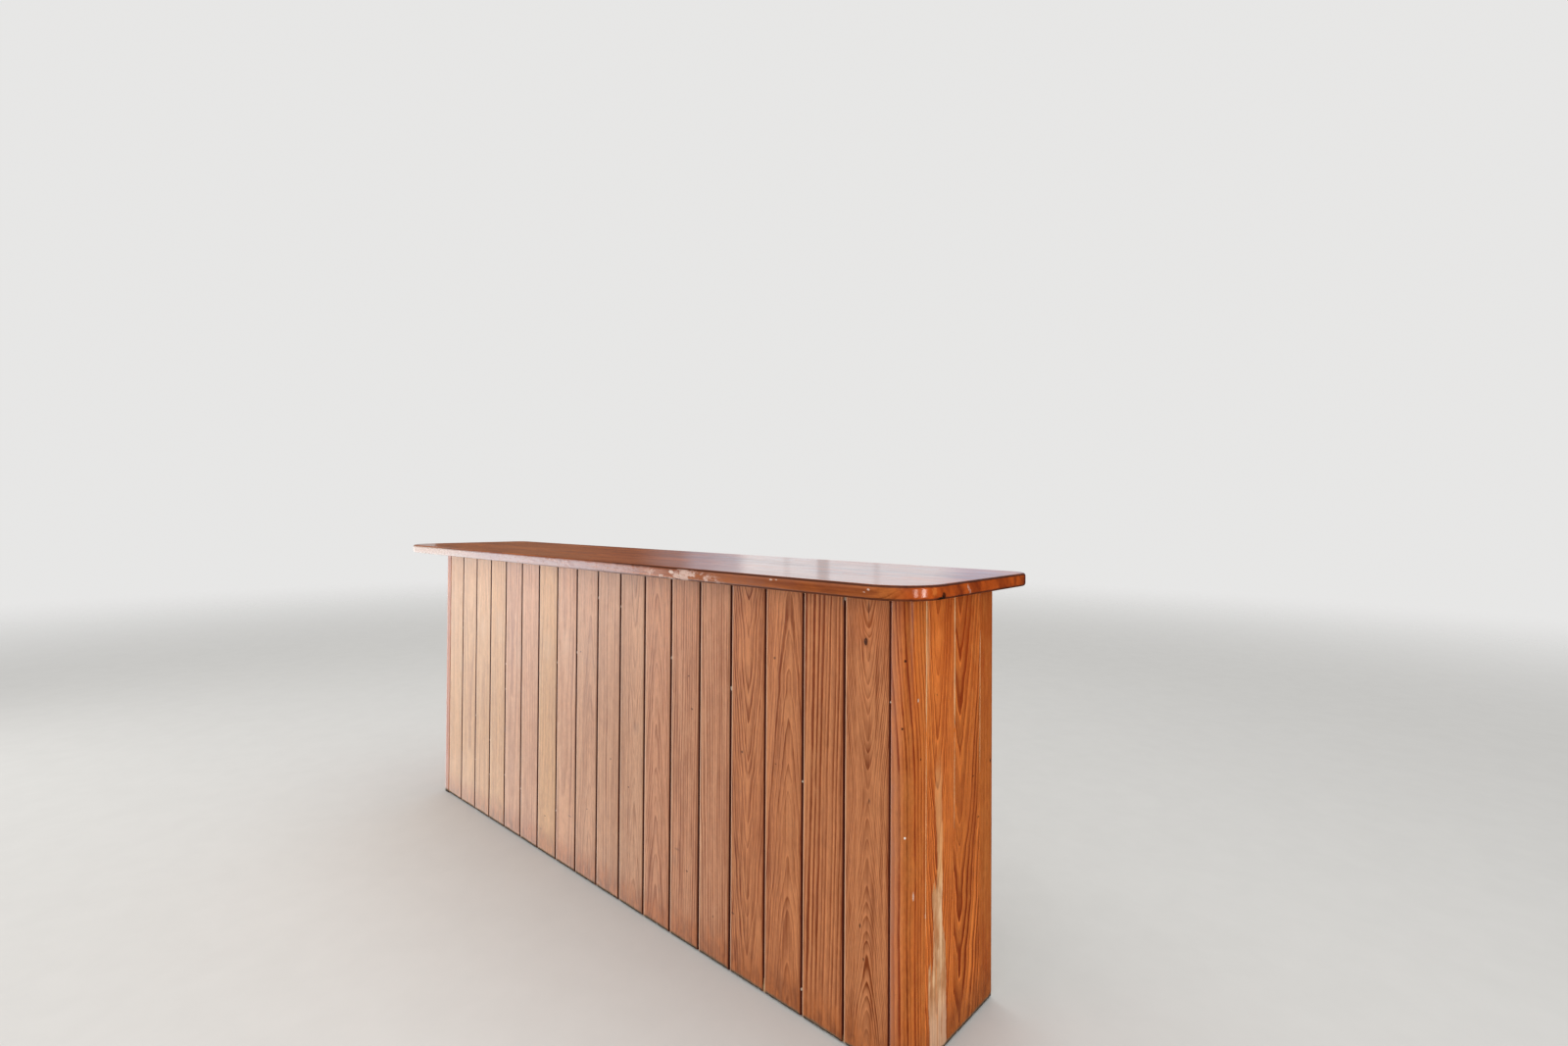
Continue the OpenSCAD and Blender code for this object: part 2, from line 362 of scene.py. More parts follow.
    if sap:                                   # pale sapwood between two wandering edges, grey near the floor
        left_edge, right_edge, top, step = sap
        edge = t.noise(q, (46.0, 46.0, 12.0), seed + 41, 4.0, 0.72)
        us = t.math("MULTIPLY_ADD", edge, 7.0 * MM, u)
        us = t.math("MULTIPLY_ADD", t.noise(q, (230.0, 230.0, 9.0), seed + 42, 2.0, 0.6), 2.2 * MM, us)
        ws = t.math("MULTIPLY_ADD", t.noise(q, (170.0, 170.0, 3.0), seed + 47, 3.0, 0.6), 0.075, w)
        off = t.math("MAXIMUM", t.sub(t.curve(ws, left_edge, (0.0, 0.8), (-0.07, 0.07)), us),
                     t.sub(us, t.curve(ws, right_edge, (0.0, 0.8), (-0.07, 0.07))))
        m = t.span(off, 2.0 * MM, -2.4 * MM)
        m = t.mul(m, t.span(t.math("MULTIPLY_ADD", mottle, 0.04, w), top, top - 0.09))
        m = t.mul(m, t.span(t.noise(q, (60.0, 60.0, 9.0), seed + 43, 4.0, 0.68), -0.80, -0.10, 0.30, 1.0))
        vein = t.noise(q, (140.0, 140.0, 3.4), seed + 46, 3.0, 0.6)
        m = t.mul(m, t.mul(t.span(vein, 0.60, 0.10, 0.15, 1.0), t.span(w, 0.40, 0.60, 0.92, 0.45)))
        sapwood = m
        line = t.mul(t.span(t.math("ABSOLUTE", t.sub(off, 1.8 * MM)), 3.4 * MM, 0.8 * MM), t.span(w, top + 0.10, top - 0.05))
        line = t.mul(line, t.span(t.noise(q, (50.0, 50.0, 6.0), seed + 44, 3.0, 0.6), -0.55, 0.35))
        colour = t.mix(t.mul(line, 0.80), colour, latewood)
        pale = t.mix(t.math("MULTIPLY_ADD", dark, 0.5, t.math("MULTIPLY_ADD", streak, 0.7, 0.25), clamp=True), (0.930, 0.530, 0.240), (0.540, 0.210, 0.062))
        low = t.span(w, step + 0.02, step - 0.03, 0.0, 0.85)
        ash = t.mix(t.span(t.add(figure, t.add(mottle, t.mul(streak, 1.3))), -0.75, 0.75), (1.000, 0.720, 0.440), (0.500, 0.225, 0.092))
        ash = t.mix(t.span(w, 0.17, 0.05, 0.0, 0.75), ash, (0.860, 0.600, 0.430))
        pale = t.gain(t.mix(low, pale, ash), t.span(vein, -0.75, 0.45, 1.22, 0.90))
        colour = t.mix(t.mul(m, 0.93), colour, pale)
        pit = t.mul(t.span(t.noise(q, (190.0, 190.0, 75.0), seed + 45, 2.0, 0.6), 0.62, 0.9), t.mul(m, low))
        colour = t.mix(t.mul(pit, 0.8), colour, (0.085, 0.050, 0.030))
        rough = t.math("MULTIPLY_ADD", m, 0.14, rough)
    for pu, pw, hu, hw, strength, tint in patches:
        m, _ = t.spot(qs, (pu * MM, 0, pw), (hu * MM, 0, hw * MM), 0.1, 1.0)
        m = t.mul(m, t.span(t.add(mottle, figure), -0.9, 0.9, 0.35, 1.0))
        colour = t.mix(t.mul(m, strength), colour, tint)
    for ku, kw, kr, kl, push in knots:
        m, k = t.spot(qs, (ku * MM, 0, kw), (kr * MM, 0, kl * MM), 0.72, 1.05)
        brink = t.mul(m, t.span(k, 0.45, 0.9))
        rings = t.math("MULTIPLY_ADD", t.math("SINE", t.mul(k, 15.0)), 0.3, 0.55)
        core = t.mix(rings, (0.150, 0.036, 0.010), (0.040, 0.010, 0.004))
        halo, _ = t.spot(qs, (ku * MM, 0, kw), (kr * MM * 2.1, 0, kl * MM * 2.3), 0.2, 1.0)
        colour = t.mix(t.mul(halo, 0.55), colour, latewood)
        colour = t.mix(t.mul(m, 0.92), colour, core)
        colour = t.mix(t.mul(brink, 0.75), colour, (0.022, 0.006, 0.003))
        heart, _ = t.spot(qs, ((ku - kr * 0.2) * MM, 0, kw - kl * 0.2 * MM), (kr * MM * 0.45, 0, kl * MM * 0.5), 0.4, 1.0)
        colour = t.mix(t.mul(heart, 0.9), colour, (0.010, 0.004, 0.002))
        height = t.math("MULTIPLY_ADD", brink, -1.2, height)
    for spec in specks:
        ku, kw, kr, kl, strength = spec[:5]
        m, _ = t.spot(qs, (ku * MM, 0, kw), (kr * MM, 0, kl * MM), 0.35, 1.0)
        colour = t.mix(t.mul(m, strength), colour, spec[5] if len(spec) > 5 else SPECK)
        height = t.math("MULTIPLY_ADD", m, (0.6 if len(spec) > 5 else -1.5) * strength, height)

    if rim:                                   # stain soaks into the end grain, and dark lines along the edges are stain with painted shade
        out = t.span(t.math("ABSOLUTE", w), 1.245, 1.300)
        soak = t.mul(out, t.span(d, 1.0 * MM, 4.0 * MM))
        lean = t.node("ShaderNodeMapping", vector_type="POINT")
        t.put(lean.inputs["Vector"], q)
        lean.inputs["Rotation"].default_value = (0.0, 0.0, math.radians(40))
        wide = t.add(t.noise(lean.outputs["Vector"], (30.0, 12.0, 24.0), seed + 81, 3.0, 0.6), t.mul(figure, 0.2))
        soaked = t.mix(t.span(wide, -0.75, 0.85), (0.640, 0.115, 0.013), (0.170, 0.016, 0.003))
        colour = t.mix(t.mul(soak, 0.90), colour, soaked)
        # painted shade: a dark line just below the upper edge, partly stain, and one along the lower edge; on the front
        # it fades out towards the left end, where the light falls on the edge
        line = t.mul(t.span(d, 0.25 * MM, 1.0 * MM), t.span(d, 6.4 * MM, 3.6 * MM))
        line = t.math("MAXIMUM", line, t.mul(t.span(t.math("MULTIPLY_ADD", mottle, 1.2 * MM, d), 26.0 * MM, 29.5 * MM), 0.85))
        if rim == "front":
            line = t.mul(line, t.span(t.math("MULTIPLY_ADD", mottle, 0.10, w), -0.20, 0.45, 0.08, 1.0))
        colour = t.mix(t.mul(line, 0.86), colour, (0.050, 0.011, 0.005))
        rough = t.math("MULTIPLY_ADD", line, 0.22, rough)

    if milky:                                 # varnish gone pale and patchy, and flaked off in places; the pale haze is also painted sheen
        m_from, m_to, f_from, f_to = milky
        cloud = t.add(t.noise(q, (85.0, 85.0, 42.0), seed + 61, 4.0, 0.68), t.mul(t.noise(q, (22.0, 22.0, 9.0), seed + 63, 2.0), 0.7))
        edge_w = t.math("MULTIPLY_ADD", t.noise(q, (30.0, 30.0, 9.0), seed + 65, 3.0, 0.6), 0.10, w)
        side = t.mul(t.span(d, 2.2 * MM, 6.5 * MM), t.span(u, -62 * MM, -66 * MM))
        grit = t.noise(q, (210.0, 210.0, 120.0), seed + 67, 3.0, 0.65)
        # painted sheen: the pale lilac haze over the left of the front edge stands for light glancing off the varnish
        # there, with milky varnish
        haze_and_sheen = t.mul(t.span(edge_w, m_to, m_from), t.span(t.math("MULTIPLY_ADD", grit, 0.6, cloud), -1.0, 0.9, 0.25, 0.90))
        broken = t.span(t.add(cloud, t.span(w, 0.26, 0.62, -0.3, 1.5)), 0.75, 0.35)
        haze_and_sheen = t.mul(haze_and_sheen, broken)
        colour = t.mix(t.mul(haze_and_sheen, side), colour, t.mix(t.span(w, -0.95, -0.45), (0.560, 0.430, 0.350), (0.440, 0.320, 0.330)))
        flake = t.mul(t.mul(t.span(edge_w, f_from - 0.06, f_from + 0.02), t.span(edge_w, f_to + 0.03, f_to - 0.05)),
                      t.span(t.math("MULTIPLY_ADD", grit, 0.25, cloud), -0.06, 0.30))
        flake = t.mul(flake, side)
        colour = t.mix(t.mul(flake, 0.80), colour, (0.660, 0.455, 0.380))
        rough = t.math("MULTIPLY_ADD", flake, 0.25, rough)
        rough = t.math("MULTIPLY_ADD", t.mul(haze_and_sheen, side), 0.24, rough)
        height = t.math("MULTIPLY_ADD", flake, -0.9, height)
    for du, dd, dw, hu, hd, hw, strength, tint in dots:
        _, k = t.spot(qs, (du * MM, dd * MM, dw), (hu * MM, hd * MM, hw * MM))
        k = t.math("MULTIPLY_ADD", t.noise(q, (330.0, 330.0, 330.0), seed + 83, 2.0, 0.6), 0.42, k)
        colour = t.mix(t.mul(t.span(k, 1.0, 0.62), strength), colour, tint)
    if worn:                                  # scuffs, darker towards the floor, a bare grey edge, and painted shadow at the very foot
        edge = t.math("MULTIPLY_ADD", t.noise(q, (60.0, 60.0, 24.0), seed + 47, 4.0, 0.68), 5.0 * MM, w)
        foot = t.span(t.math("MULTIPLY_ADD", figure, 0.03, edge), 0.125, 0.025)
        if sap:                               # the sapwood stays pale down to the floor
            foot = t.mul(foot, t.sub(1.0, t.mul(sapwood, 0.85)))
        colour = t.mix(t.mul(foot, 0.62), colour, t.mix(t.span(t.add(mottle, figure), -0.7, 0.7), (0.500, 0.150, 0.042), (0.190, 0.054, 0.020)))
        for turn, k in ((38, 0), (-52, 1)):
            rot = t.node("ShaderNodeMapping", vector_type="POINT")
            t.put(rot.inputs["Vector"], q)
            rot.inputs["Rotation"].default_value = (0.0, math.radians(turn), 0.0)
            stroke = t.noise(rot.outputs["Vector"], (300.0, 60.0, 24.0), seed + 49 + k, 2.0, 0.5)
            stroke = t.mul(t.span(stroke, 0.50, 0.85), t.span(t.noise(q, (16.0, 16.0, 16.0), seed + 51 + k, 2.0), 0.05, 0.60))
            stroke = t.mul(stroke, t.span(w, 0.42, 0.10, 0.12, 1.0))
            colour = t.mix(t.mul(stroke, 0.55 if k else 0.42), colour, (0.170, 0.052, 0.020) if k else (0.640, 0.390, 0.240))
        threads = t.noise(q, (330.0, 330.0, 30.0), seed + 53, 3.0, 0.7)
        bare = t.math("MAXIMUM", t.span(edge, 0.0145, 0.0095),
                      t.mul(t.mul(t.span(threads, 0.50, 0.85), t.span(edge, 0.034, 0.014)), 0.6))
        rawc = t.mix(t.span(threads, -0.8, 0.8), (0.070, 0.054, 0.034), (0.250, 0.190, 0.120))
        colour = t.mix(t.mul(bare, 0.85), colour, rawc)
        # painted shadow: near-black along the foot of the board, where it meets the floor
        floor_shadow = t.span(w, 0.0095, 0.0065)
        colour = t.mix(t.mul(floor_shadow, 0.85), colour, (0.022, 0.018, 0.014))
        rough = t.add(t.mul(rough, t.sub(1.0, bare)), t.mul(bare, 0.86))
        height = t.math("MULTIPLY_ADD", t.mul(threads, bare), 1.6, height)
    if joint:                                 # years of varnish and dirt in the joint, and painted shade: darkest on its left side, whose bevel faces away from the light
        left, right = joint
        jag = t.mul(t.noise(q, (160.0, 160.0, 26.0), seed + 67, 3.0, 0.6), 0.40 * MM)
        ju = t.add(u, jag)
        m = t.mul(t.span(ju, -left * MM, (-left - 0.5) * MM), t.span(d, 0.7 * MM, 1.5 * MM)) if left else None
        if right:
            n = t.span(ju, (right - 0.25) * MM, (right + 0.30) * MM)
            m = n if m is None else t.math("MAXIMUM", m, n)
            # the arrises are rubbed pale, most on the left of each board, and this pale edge is also a painted
            # highlight
            rub_and_highlight = t.mul(t.span(t.math("MULTIPLY_ADD", thread, 0.5 * MM, u), (-left + 5.0) * MM, (-left + 2.0) * MM),
                        t.span(t.noise(q, (30.0, 30.0, 22.0), seed + 68, 3.0, 0.6), -1.0, 0.3, 0.35, 1.0))
            colour = t.mix(t.mul(rub_and_highlight, 0.62), colour, (0.760, 0.430, 0.260))
            # painted shade: the right side of each board darker towards the joint
            shaded_side = t.span(u, (right - 8.0) * MM, (right - 1.0) * MM)
            colour = t.mix(t.mul(shaded_side, 0.42), colour, latewood)
        m = t.mul(m, t.span(t.noise(q, (40.0, 40.0, 30.0), seed + 69, 3.0, 0.6), -1.25, -0.35, 0.80, 0.98))
        m = t.mul(m, t.span(d, 12.5 * MM, 9.5 * MM))
        colour = t.mix(m, colour, dirt_and_shade)
        rough = t.add(t.mul(rough, t.sub(1.0, m)), t.mul(m, 0.55))
    if rim:                                   # no varnish on the underside
        rough = t.math("MAXIMUM", rough, t.span(d, 32.2 * MM, 32.9 * MM, 0.0, 0.85))
    if back is not None or inside:            # unvarnished below a depth from the face, or inside the frame
        if inside:
            m = t.mul(t.span(u, (inside[0] + 0.5) * MM, (inside[0] - 0.5) * MM), t.span(d, (inside[1] - 2) * MM, inside[1] * MM))
        else:
            m = t.span(d, (back - 2) * MM, back * MM)
        plain = t.mix(amount, (0.50, 0.300, 0.140), (0.35, 0.165, 0.066))
        plain = t.gain(plain, grey)
        colour = t.mix(m, colour, plain)
        rough = t.add(t.mul(rough, t.sub(1.0, m)), t.mul(m, 0.78))

    if finish == "satin":
        normal = t.bump(height, 0.35 * bump, 0.5 * MM)
        return t.surface(colour, rough, normal, IOR=1.5, Specular_IOR_Level=0.3)
    if finish == "gloss":
        swell = t.noise(q, (26.0, 26.0, 7.0), seed + 59, 2.0)
        ripple = t.noise(q, (120.0, 120.0, 5.0), seed + 71, 3.0, 0.6)
        height = t.math("MULTIPLY_ADD", height, 0.05, t.mul(ripple, 0.16))
        normal = t.bump(t.add(height, swell), 0.34 * bump, 1.2 * MM)
        return t.surface(colour, rough, normal, IOR=1.5, Specular_IOR_Level=0.5)
    normal = t.bump(height, 0.5 * bump, 0.6 * MM)
    return t.surface(colour, rough, normal, IOR=1.45, Specular_IOR_Level=0.35)


def front_place(xc, y_face):
    return ((0, 1.0, -xc), (1, 1.0, -y_face), (2, 1.0, 0.0))


def end_place(side, yc, x_face):
    return ((1, 1.0, -yc), (0, -side, x_face), (2, 1.0, 0.0))


# ---------------------------------------------------------------- boards

def fillet(points, radii, segs=2):
    """Rounds the corners of a closed outline of (x, y) points; a radius of 0 keeps the corner."""
    out = []
    n = len(points)
    for i, (p, r) in enumerate(zip(points, radii)):
        if r <= 0:
            out.append(p)
            continue
        a, b, c = Vector(points[i - 1]), Vector(p), Vector(points[(i + 1) % n])
        ea, ec = (a - b).normalized(), (c - b).normalized()
        half = math.acos(max(-1, min(1, ea.dot(ec)))) / 2
        cut = min(r / math.tan(half), (a - b).length * 0.45, (c - b).length * 0.45)
        p0, p1 = b + ea * cut, b + ec * cut
        for k in range(segs + 1):
            s = k / segs
            q = p0.lerp(b, s).lerp(b.lerp(p1, s), s)
            out.append((q.x, q.y))
    return out


def refine(points, step, only=None):
    """Adds points along the long sides of a closed outline."""
    out = []
    n = len(points)
    for i, p in enumerate(points):
        q = points[(i + 1) % n]
        out.append(p)
        length = math.hypot(q[0] - p[0], q[1] - p[1])
        if only is None or only(p, q):
            k = int(length / step)
            for j in range(1, k + 1):
                s = j / (k + 1)
                out.append((p[0] + (q[0] - p[0]) * s, p[1] + (q[1] - p[1]) * s))
    return out


def rows_between(z0, z1, fine_low=True):
    zs = [0, 2, 4, 6.5, 9, 12, 15, 19, 24, 30, 38, 50, 70, 100] if fine_low else [0, 40, 100]
    zs = [z0 + z * MM for z in zs]
    z = zs[-1]
    while z < z1 - 0.075:
        z += 0.060
        zs.append(z)
    return zs + [z1]


def upright_mesh(outline, place, z0, z1, shape, fine_low=True):
    """Extrudes a closed outline of (u, d) upwards. shape moves each point; place puts (u, d, z) in the frame."""
    bm = bmesh.new()
    rows = []
    for z in rows_between(z0, z1, fine_low):
        rows.append([bm.verts.new(place(*shape(u, d, z))) for u, d in outline])
    n = len(outline)
    for a, b in zip(rows, rows[1:]):
        for i in range(n):
            j = (i + 1) % n
            bm.faces.new((a[i], a[j], b[j], b[i]))
    caps = [bm.faces.new(rows[0]), bm.faces.new(list(reversed(rows[-1])))]
    bmesh.ops.triangulate(bm, faces=caps)
    return bm


def board_outline(w, gap, bevel, thick, tongue, groove, step=4.5 * MM):
    """The profile of a board from 0 to w, face at depth 0, in metres."""
    a, b = gap / 2, w - gap / 2
    t1, t2, tl, play = 7 * MM, 13 * MM, 6 * MM, 0.3 * MM
    pts, rad = [], []

    def put(x, y, r=0.0):
        pts.append((x, y))
        rad.append(r)

    put(a, bevel, 0.7 * MM)
    put(a + bevel, 0, 0.9 * MM)
    put(b - bevel, 0, 0.9 * MM)
    put(b, bevel, 0.7 * MM)
    if tongue:
        put(b, t1)
        put(b + tl, t1, 0.8 * MM)
        put(b + tl, t2, 0.8 * MM)
        put(b, t2)
    put(b, thick, 0.6 * MM)
    put(a, thick, 0.6 * MM)
    if groove:
        put(a, t2 + play)
        put(a + tl + play, t2 + play)
        put(a + tl + play, t1 - play)
        put(a, t1 - play)
    out = fillet(pts, rad)
    out = refine(out, step, lambda p, q: abs(p[1]) < 1e-6 and abs(q[1]) < 1e-6)
    return refine(out, 9 * MM, lambda p, q: p[1] > thick - 1e-6 and q[1] > thick - 1e-6)


def board_shape(w, z0, z1, seed, ragged=1.0, crown=0.10, ease_edge=0.32, waver=0.3, sink=0.0):
    """Small departures of a real board from its drawing, all of them inwards."""
    rng = random.Random(int(seed * 977) + 5)
    notches = [(rng.uniform(0.05, 0.95) * w, rng.uniform(1.2, 3.0) * MM, rng.uniform(1.5, 5.0) * MM)
               for _ in range(rng.randint(1, 3))]

    def shape(u, d, z):
        near = ease(d, 5.5 * MM, 1.5 * MM)              # 1 at the face, 0 from 5.5 mm down
        rag = (0.5 + 0.6 * (1 + n1(u * 55, seed * 3.3)) + 0.5 * n1(u * 230, seed)) * MM
        for nu, nw, nh in notches:
            rag += nh * max(0.0, 1 - abs(u - nu) / nw) * (0.45 + 0.55 * near)
        rag = max(0.0, rag) * ragged
        zz = z + rag * (1 - (z - z0) / (z1 - z0))
        wear = ease(zz, z0 + 16 * MM, z0 + 2 * MM)
        wear *= (0.50 + 0.45 * n1(u * 120, z * 70, seed) + 0.35 * n1(u * 330, z * 90, seed + 4))
        dd = d + near * (max(0.0, wear) * 1.5 * MM * ragged + sink)
        mid = (u / w - 0.5) * 2
        dd += near * crown * MM * mid * mid
        out = min(u, w - u)                             # the faces fall away softly beside the joints
        soft = max(0.0, 1 - out / (8.5 * MM))
        dd += near * ease_edge * MM * soft * soft
        dd += near * 0.07 * MM * (1 + n1(u * 22, z * 5, seed + 9))
        left = n1(z * 4.1, seed * 1.7, 0.3) * waver * MM
        right = n1(z * 3.7, seed * 2.3, 4.3) * waver * MM
        share = u / w
        uu = u + (abs(left) * (1 - share) - abs(right) * share)
        return uu, dd, zz

    return shape


def varnished_board(name, nodes, place, w, gap, bevel, z0, z1, material, slot, seed,
                    tongue=True, groove=True, **how):
    bm = upright_mesh(board_outline(w, gap, bevel, 19 * MM, tongue, groove), place, z0, z1,
                      board_shape(w, z0, z1, seed, **how))
    obj = new_object(name, bm, material, slot)
    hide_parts(nodes)
    return obj


PITCH, X0, Y_FACE = 0.130, -1.170, -0.139
Z0, Z1 = 0.004, 1.075
Y_END0 = -0.072                       # where the first end board starts
X_END = 1.223                         # face of the end boards

# Grain of each front board, from left to right. Across is from the board's middle, in
# millimetres; heights are in metres.
D = dict
# The left boards' paler amber tone, lower contrast and pale patches are wood tone and painted sheen together, for the
# light glancing off their varnish.
FRONT = [
    D(tone="amber", spacing=11, pith=(-60, 70), tilt=(0, 12), contrast=0.5, fine=0.7),
    D(tone="amber", spacing=10, pith=(10, 95), tilt=(0, -20), contrast=0.5, fine=0.7),
    D(tone="amber", spacing=12, pith=(0, 60), tilt=(0, 22), contrast=0.5, fine=0.7,
      patches=[(0, 0.77, 45, 80, 0.20, PALE_SHEEN)]),
    D(tone="amber", spacing=10, pith=(90, 80), contrast=0.5, fine=0.7, patches=[(10, 0.80, 50, 90, 0.22, PALE_SHEEN)]),
    D(tone="brown", spacing=12, pith=(-10, 70), tilt=(4, -18), contrast=0.4, fine=0.6, lift=1.10),
    D(tone="brown", spacing=10, pith=(-120, 80), contrast=0.5, lift=1.12, fine=0.6, specks=[(12, 0.06, 3, 4, 0.8)]),
    D(tone="amber", spacing=13, pith=(5, 75), tilt=(0, 16), contrast=0.5, lift=0.98, fine=0.7,
      specks=[(-10, 0.14, 6, 3, 0.8), (-38, 0.085, 4, 3, 0.7)], patches=[(0, 0.76, 50, 90, 0.20, PALE_SHEEN)]),
    D(tone="brown", spacing=11, pith=(-15, 100), tilt=(0, -16), contrast=0.5, lift=1.13, fine=0.7,
      specks=[(30, 0.187, 14, 2.2, 0.8)], patches=[(0, 0.79, 50, 80, 0.20, PALE_SHEEN)]),
    D(tone="brown", spacing=15, pith=(20, 14), taper=0.15, bend=50, contrast=0.34, fine=0.9, lift=1.04,
      specks=[(-40, 0.772, 5, 3.4, 0.85), (8, 0.243, 5, 3.4, 0.6)]),
    D(tone="brown", spacing=10, pith=(-70, 85), contrast=0.5, fine=0.8, specks=[(15, 0.446, 4.6, 4.2, 0.85)]),
    D(tone="brown", spacing=15, pith=(15, 12), taper=-0.15, bend=50, turn=0.45, contrast=0.55, fine=1.0,
      specks=[(-15, 0.38, 6, 3.6, 0.8)], patches=[(22, 0.575, 26, 28, 0.5, (0.24, 0.12, 0.08)),
                                                   (-12, 0.30, 22, 40, 0.35, (0.27, 0.12, 0.07))]),
    D(tone="umber", spacing=17.0, pith=(-4, 7), taper=0.17, bend=54, fine=1.2, contrast=0.85, lift=1.02, sway=2.0, wave=6.0, uneven=0.45,
      late=(0.42, 0.90), glow=0.05, patches=[(18, 0.115, 20, 26, 0.45, (0.200, 0.085, 0.045))]),
    D(tone="umber", spacing=9.0, pith=(-125, 60), tilt=(14, 0), contrast=0.80, fine=1.2, late=(0.50, 0.82),
      specks=[(16, 0.778, 5.5, 2.8, 0.75), (32, 0.686, 6, 4.2, 0.8), (14, 0.213, 6, 3, 0.75)],
      patches=[(-42, 0.225, 18, 26, 0.45, (0.20, 0.09, 0.055)), (-30, 0.262, 20, 6, 0.5, (0.17, 0.07, 0.04))]),
    D(tone="umber", spacing=8.5, pith=(-95, 60), tilt=(-8, 12), contrast=0.80, fine=1.2, late=(0.50, 0.82),
      specks=[(-2, 0.125, 4, 5, 0.6)]),
    D(tone="russet", spacing=17.0, pith=(3, 5), taper=-0.19, bend=52, fine=1.3, contrast=0.95, sway=2.0, wave=5.0, uneven=0.45,
      late=(0.40, 0.90), glow=0.06, specks=[(-20, 0.61, 5, 5, 0.8), (-52, 0.165, 8, 4, 0.7)]),
    D(tone="russet", spacing=19.0, pith=(18, 5), taper=0.18, bend=48, fine=1.1, contrast=0.70, sway=2.0, wave=5.5, uneven=0.45,
      late=(0.40, 0.90), glow=0.06, specks=[(-32, 0.879, 5.5, 5, 0.75), (-26, 0.607, 5, 3, 0.6)]),
    D(tone="russet", spacing=12.0, pith=(-190, 70), tilt=(22, 0), contrast=1.15, glow=0.08, late=(0.45, 0.78), sway=2.0, uneven=0.30,
      wave=3.4, fine=0.6, patches=[(62, 1.045, 6, 20, 0.9, (0.36, 0.33, 0.27)), (57, 0.50, 7, 900, 0.30, (0.16, 0.045, 0.016))]),
    D(tone="russet", spacing=8.5, pith=(4, 10), taper=-0.22, bend=56, turn=0.60, contrast=0.78, glow=0.12, lift=0.95, sway=2.5, wave=4.6, uneven=0.55,
      fine=1.0, late=(0.42, 0.84), knots=[(-3, 0.958, 5.5, 9.0, 7.0)],
      specks=[(8, 0.592, 3.2, 9, 0.75), (-16, 0.298, 4, 8, 0.8), (-6, 0.225, 3.4, 5, 0.7), (5, 1.035, 2.4, 34, 0.55)],
      patches=[(8, 0.925, 8, 16, 0.40, (0.20, 0.05, 0.015)), (10, 1.02, 85, 110, 0.35, (0.58, 0.145, 0.032))]),
]


def build_front():
    for i, how in enumerate(FRONT, 1):
        x = X0 + (i - 1) * PITCH
        # the first fourteen boards' joints are painted darker still: dirt with painted shade
        m = wood(f"pine_front_{i:02d}", front_place(x + PITCH / 2, Y_FACE), seed=i * 1.713,
                 worn=True, back=12, joint=(61.3, 60.0) if i < 15 else (61.8, 61.0),
                 dirt_and_shade=(0.048, 0.0050, 0.0008) if i < 15 else DIRT_AND_SHADE, **how)
        rng = random.Random(400 + i)
        varnished_board(f"clad_board_{i:02d}", f"front_board_{i:02d}",
                        lambda u, d, z, x=x: (x + u, Y_FACE + d, z), PITCH, 2.5 * MM, 2.5 * MM,
                        Z0, Z1, m, "front_boards", i * 0.731, tongue=i < 18, groove=i > 1,
                        sink=rng.uniform(0.0, 0.12) * MM)


# The edges of the pale streak, as (height, across in metres).
SAP_LEFT = [(0.0, -0.042), (0.05, -0.046), (0.106, -0.050), (0.165, -0.053), (0.205, -0.050), (0.212, -0.031), (0.285, -0.030),
            (0.34, -0.033), (0.395, -0.037), (0.402, -0.014), (0.45, -0.014), (0.50, -0.017), (0.56, -0.023), (0.64, -0.026),
            (0.72, -0.020), (0.80, -0.016)]
SAP_RIGHT = [(0.0, 0.030), (0.10, 0.029), (0.20, 0.027), (0.262, 0.020), (0.270, 0.007), (0.34, 0.008), (0.395, 0.013),
             (0.402, 0.009), (0.47, 0.010), (0.53, 0.007), (0.58, 0.005), (0.64, 0.008), (0.72, 0.006), (0.80, 0.002)]
# Pale strips beside the first two joints, at -58 and 64 across on the first board and -64 on the second, are painted
# highlights.
ENDS = [
    D(tone="orange", spacing=20.0, pith=(-14, 9), taper=-0.15, bend=58, contrast=1.05, glow=0.16, sway=2.0, wave=4.4, uneven=0.35, fine=0.7,
      late=(0.42, 0.92), sap=(SAP_LEFT, SAP_RIGHT, 0.71, 0.398), specks=[(-42, 1.060, 2.4, 5, 0.9), (42, 1.036, 3, 3, 0.5), (-18, 0.835, 3, 3, 0.6)],
      patches=[(-58, 0.95, 13, 170, 0.60, (0.880, 0.440, 0.200)), (64, 0.93, 7, 190, 0.50, (0.900, 0.400, 0.150)), (20, 1.08, 90, 330, 0.65, (0.560, 0.105, 0.012))]),
    D(tone="orange", spacing=38.0, pith=(-38, 3), taper=-0.31, bend=56, phase=-0.22, contrast=1.00, glow=0.42, lift=0.84, sway=2.0, wave=4.2,
      uneven=0.34, late=(0.40, 0.94), fine=0.65, specks=[(30, 0.60, 6, 3, 0.8), (58, 0.49, 8, 4, 0.6)],
      patches=[(0, 1.10, 110, 520, 0.70, (0.480, 0.072, 0.007)), (-64, 0.90, 6, 170, 0.45, (0.850, 0.360, 0.130))]),
    D(tone="orange", spacing=15.0, pith=(-150, 60), tilt=(6, 0), contrast=0.35, fine=0.45, sway=2.0, lift=0.77,
      specks=[(24, 0.6145, 5, 7, 0.9)],
      patches=[(0, 1.10, 110, 520, 0.70, (0.420, 0.064, 0.007)), (0, 0.10, 70, 260, 0.60, (0.400, 0.078, 0.016)),
               (37, 0.55, 8, 1200, 0.45, (0.58, 0.40, 0.27))]),
]


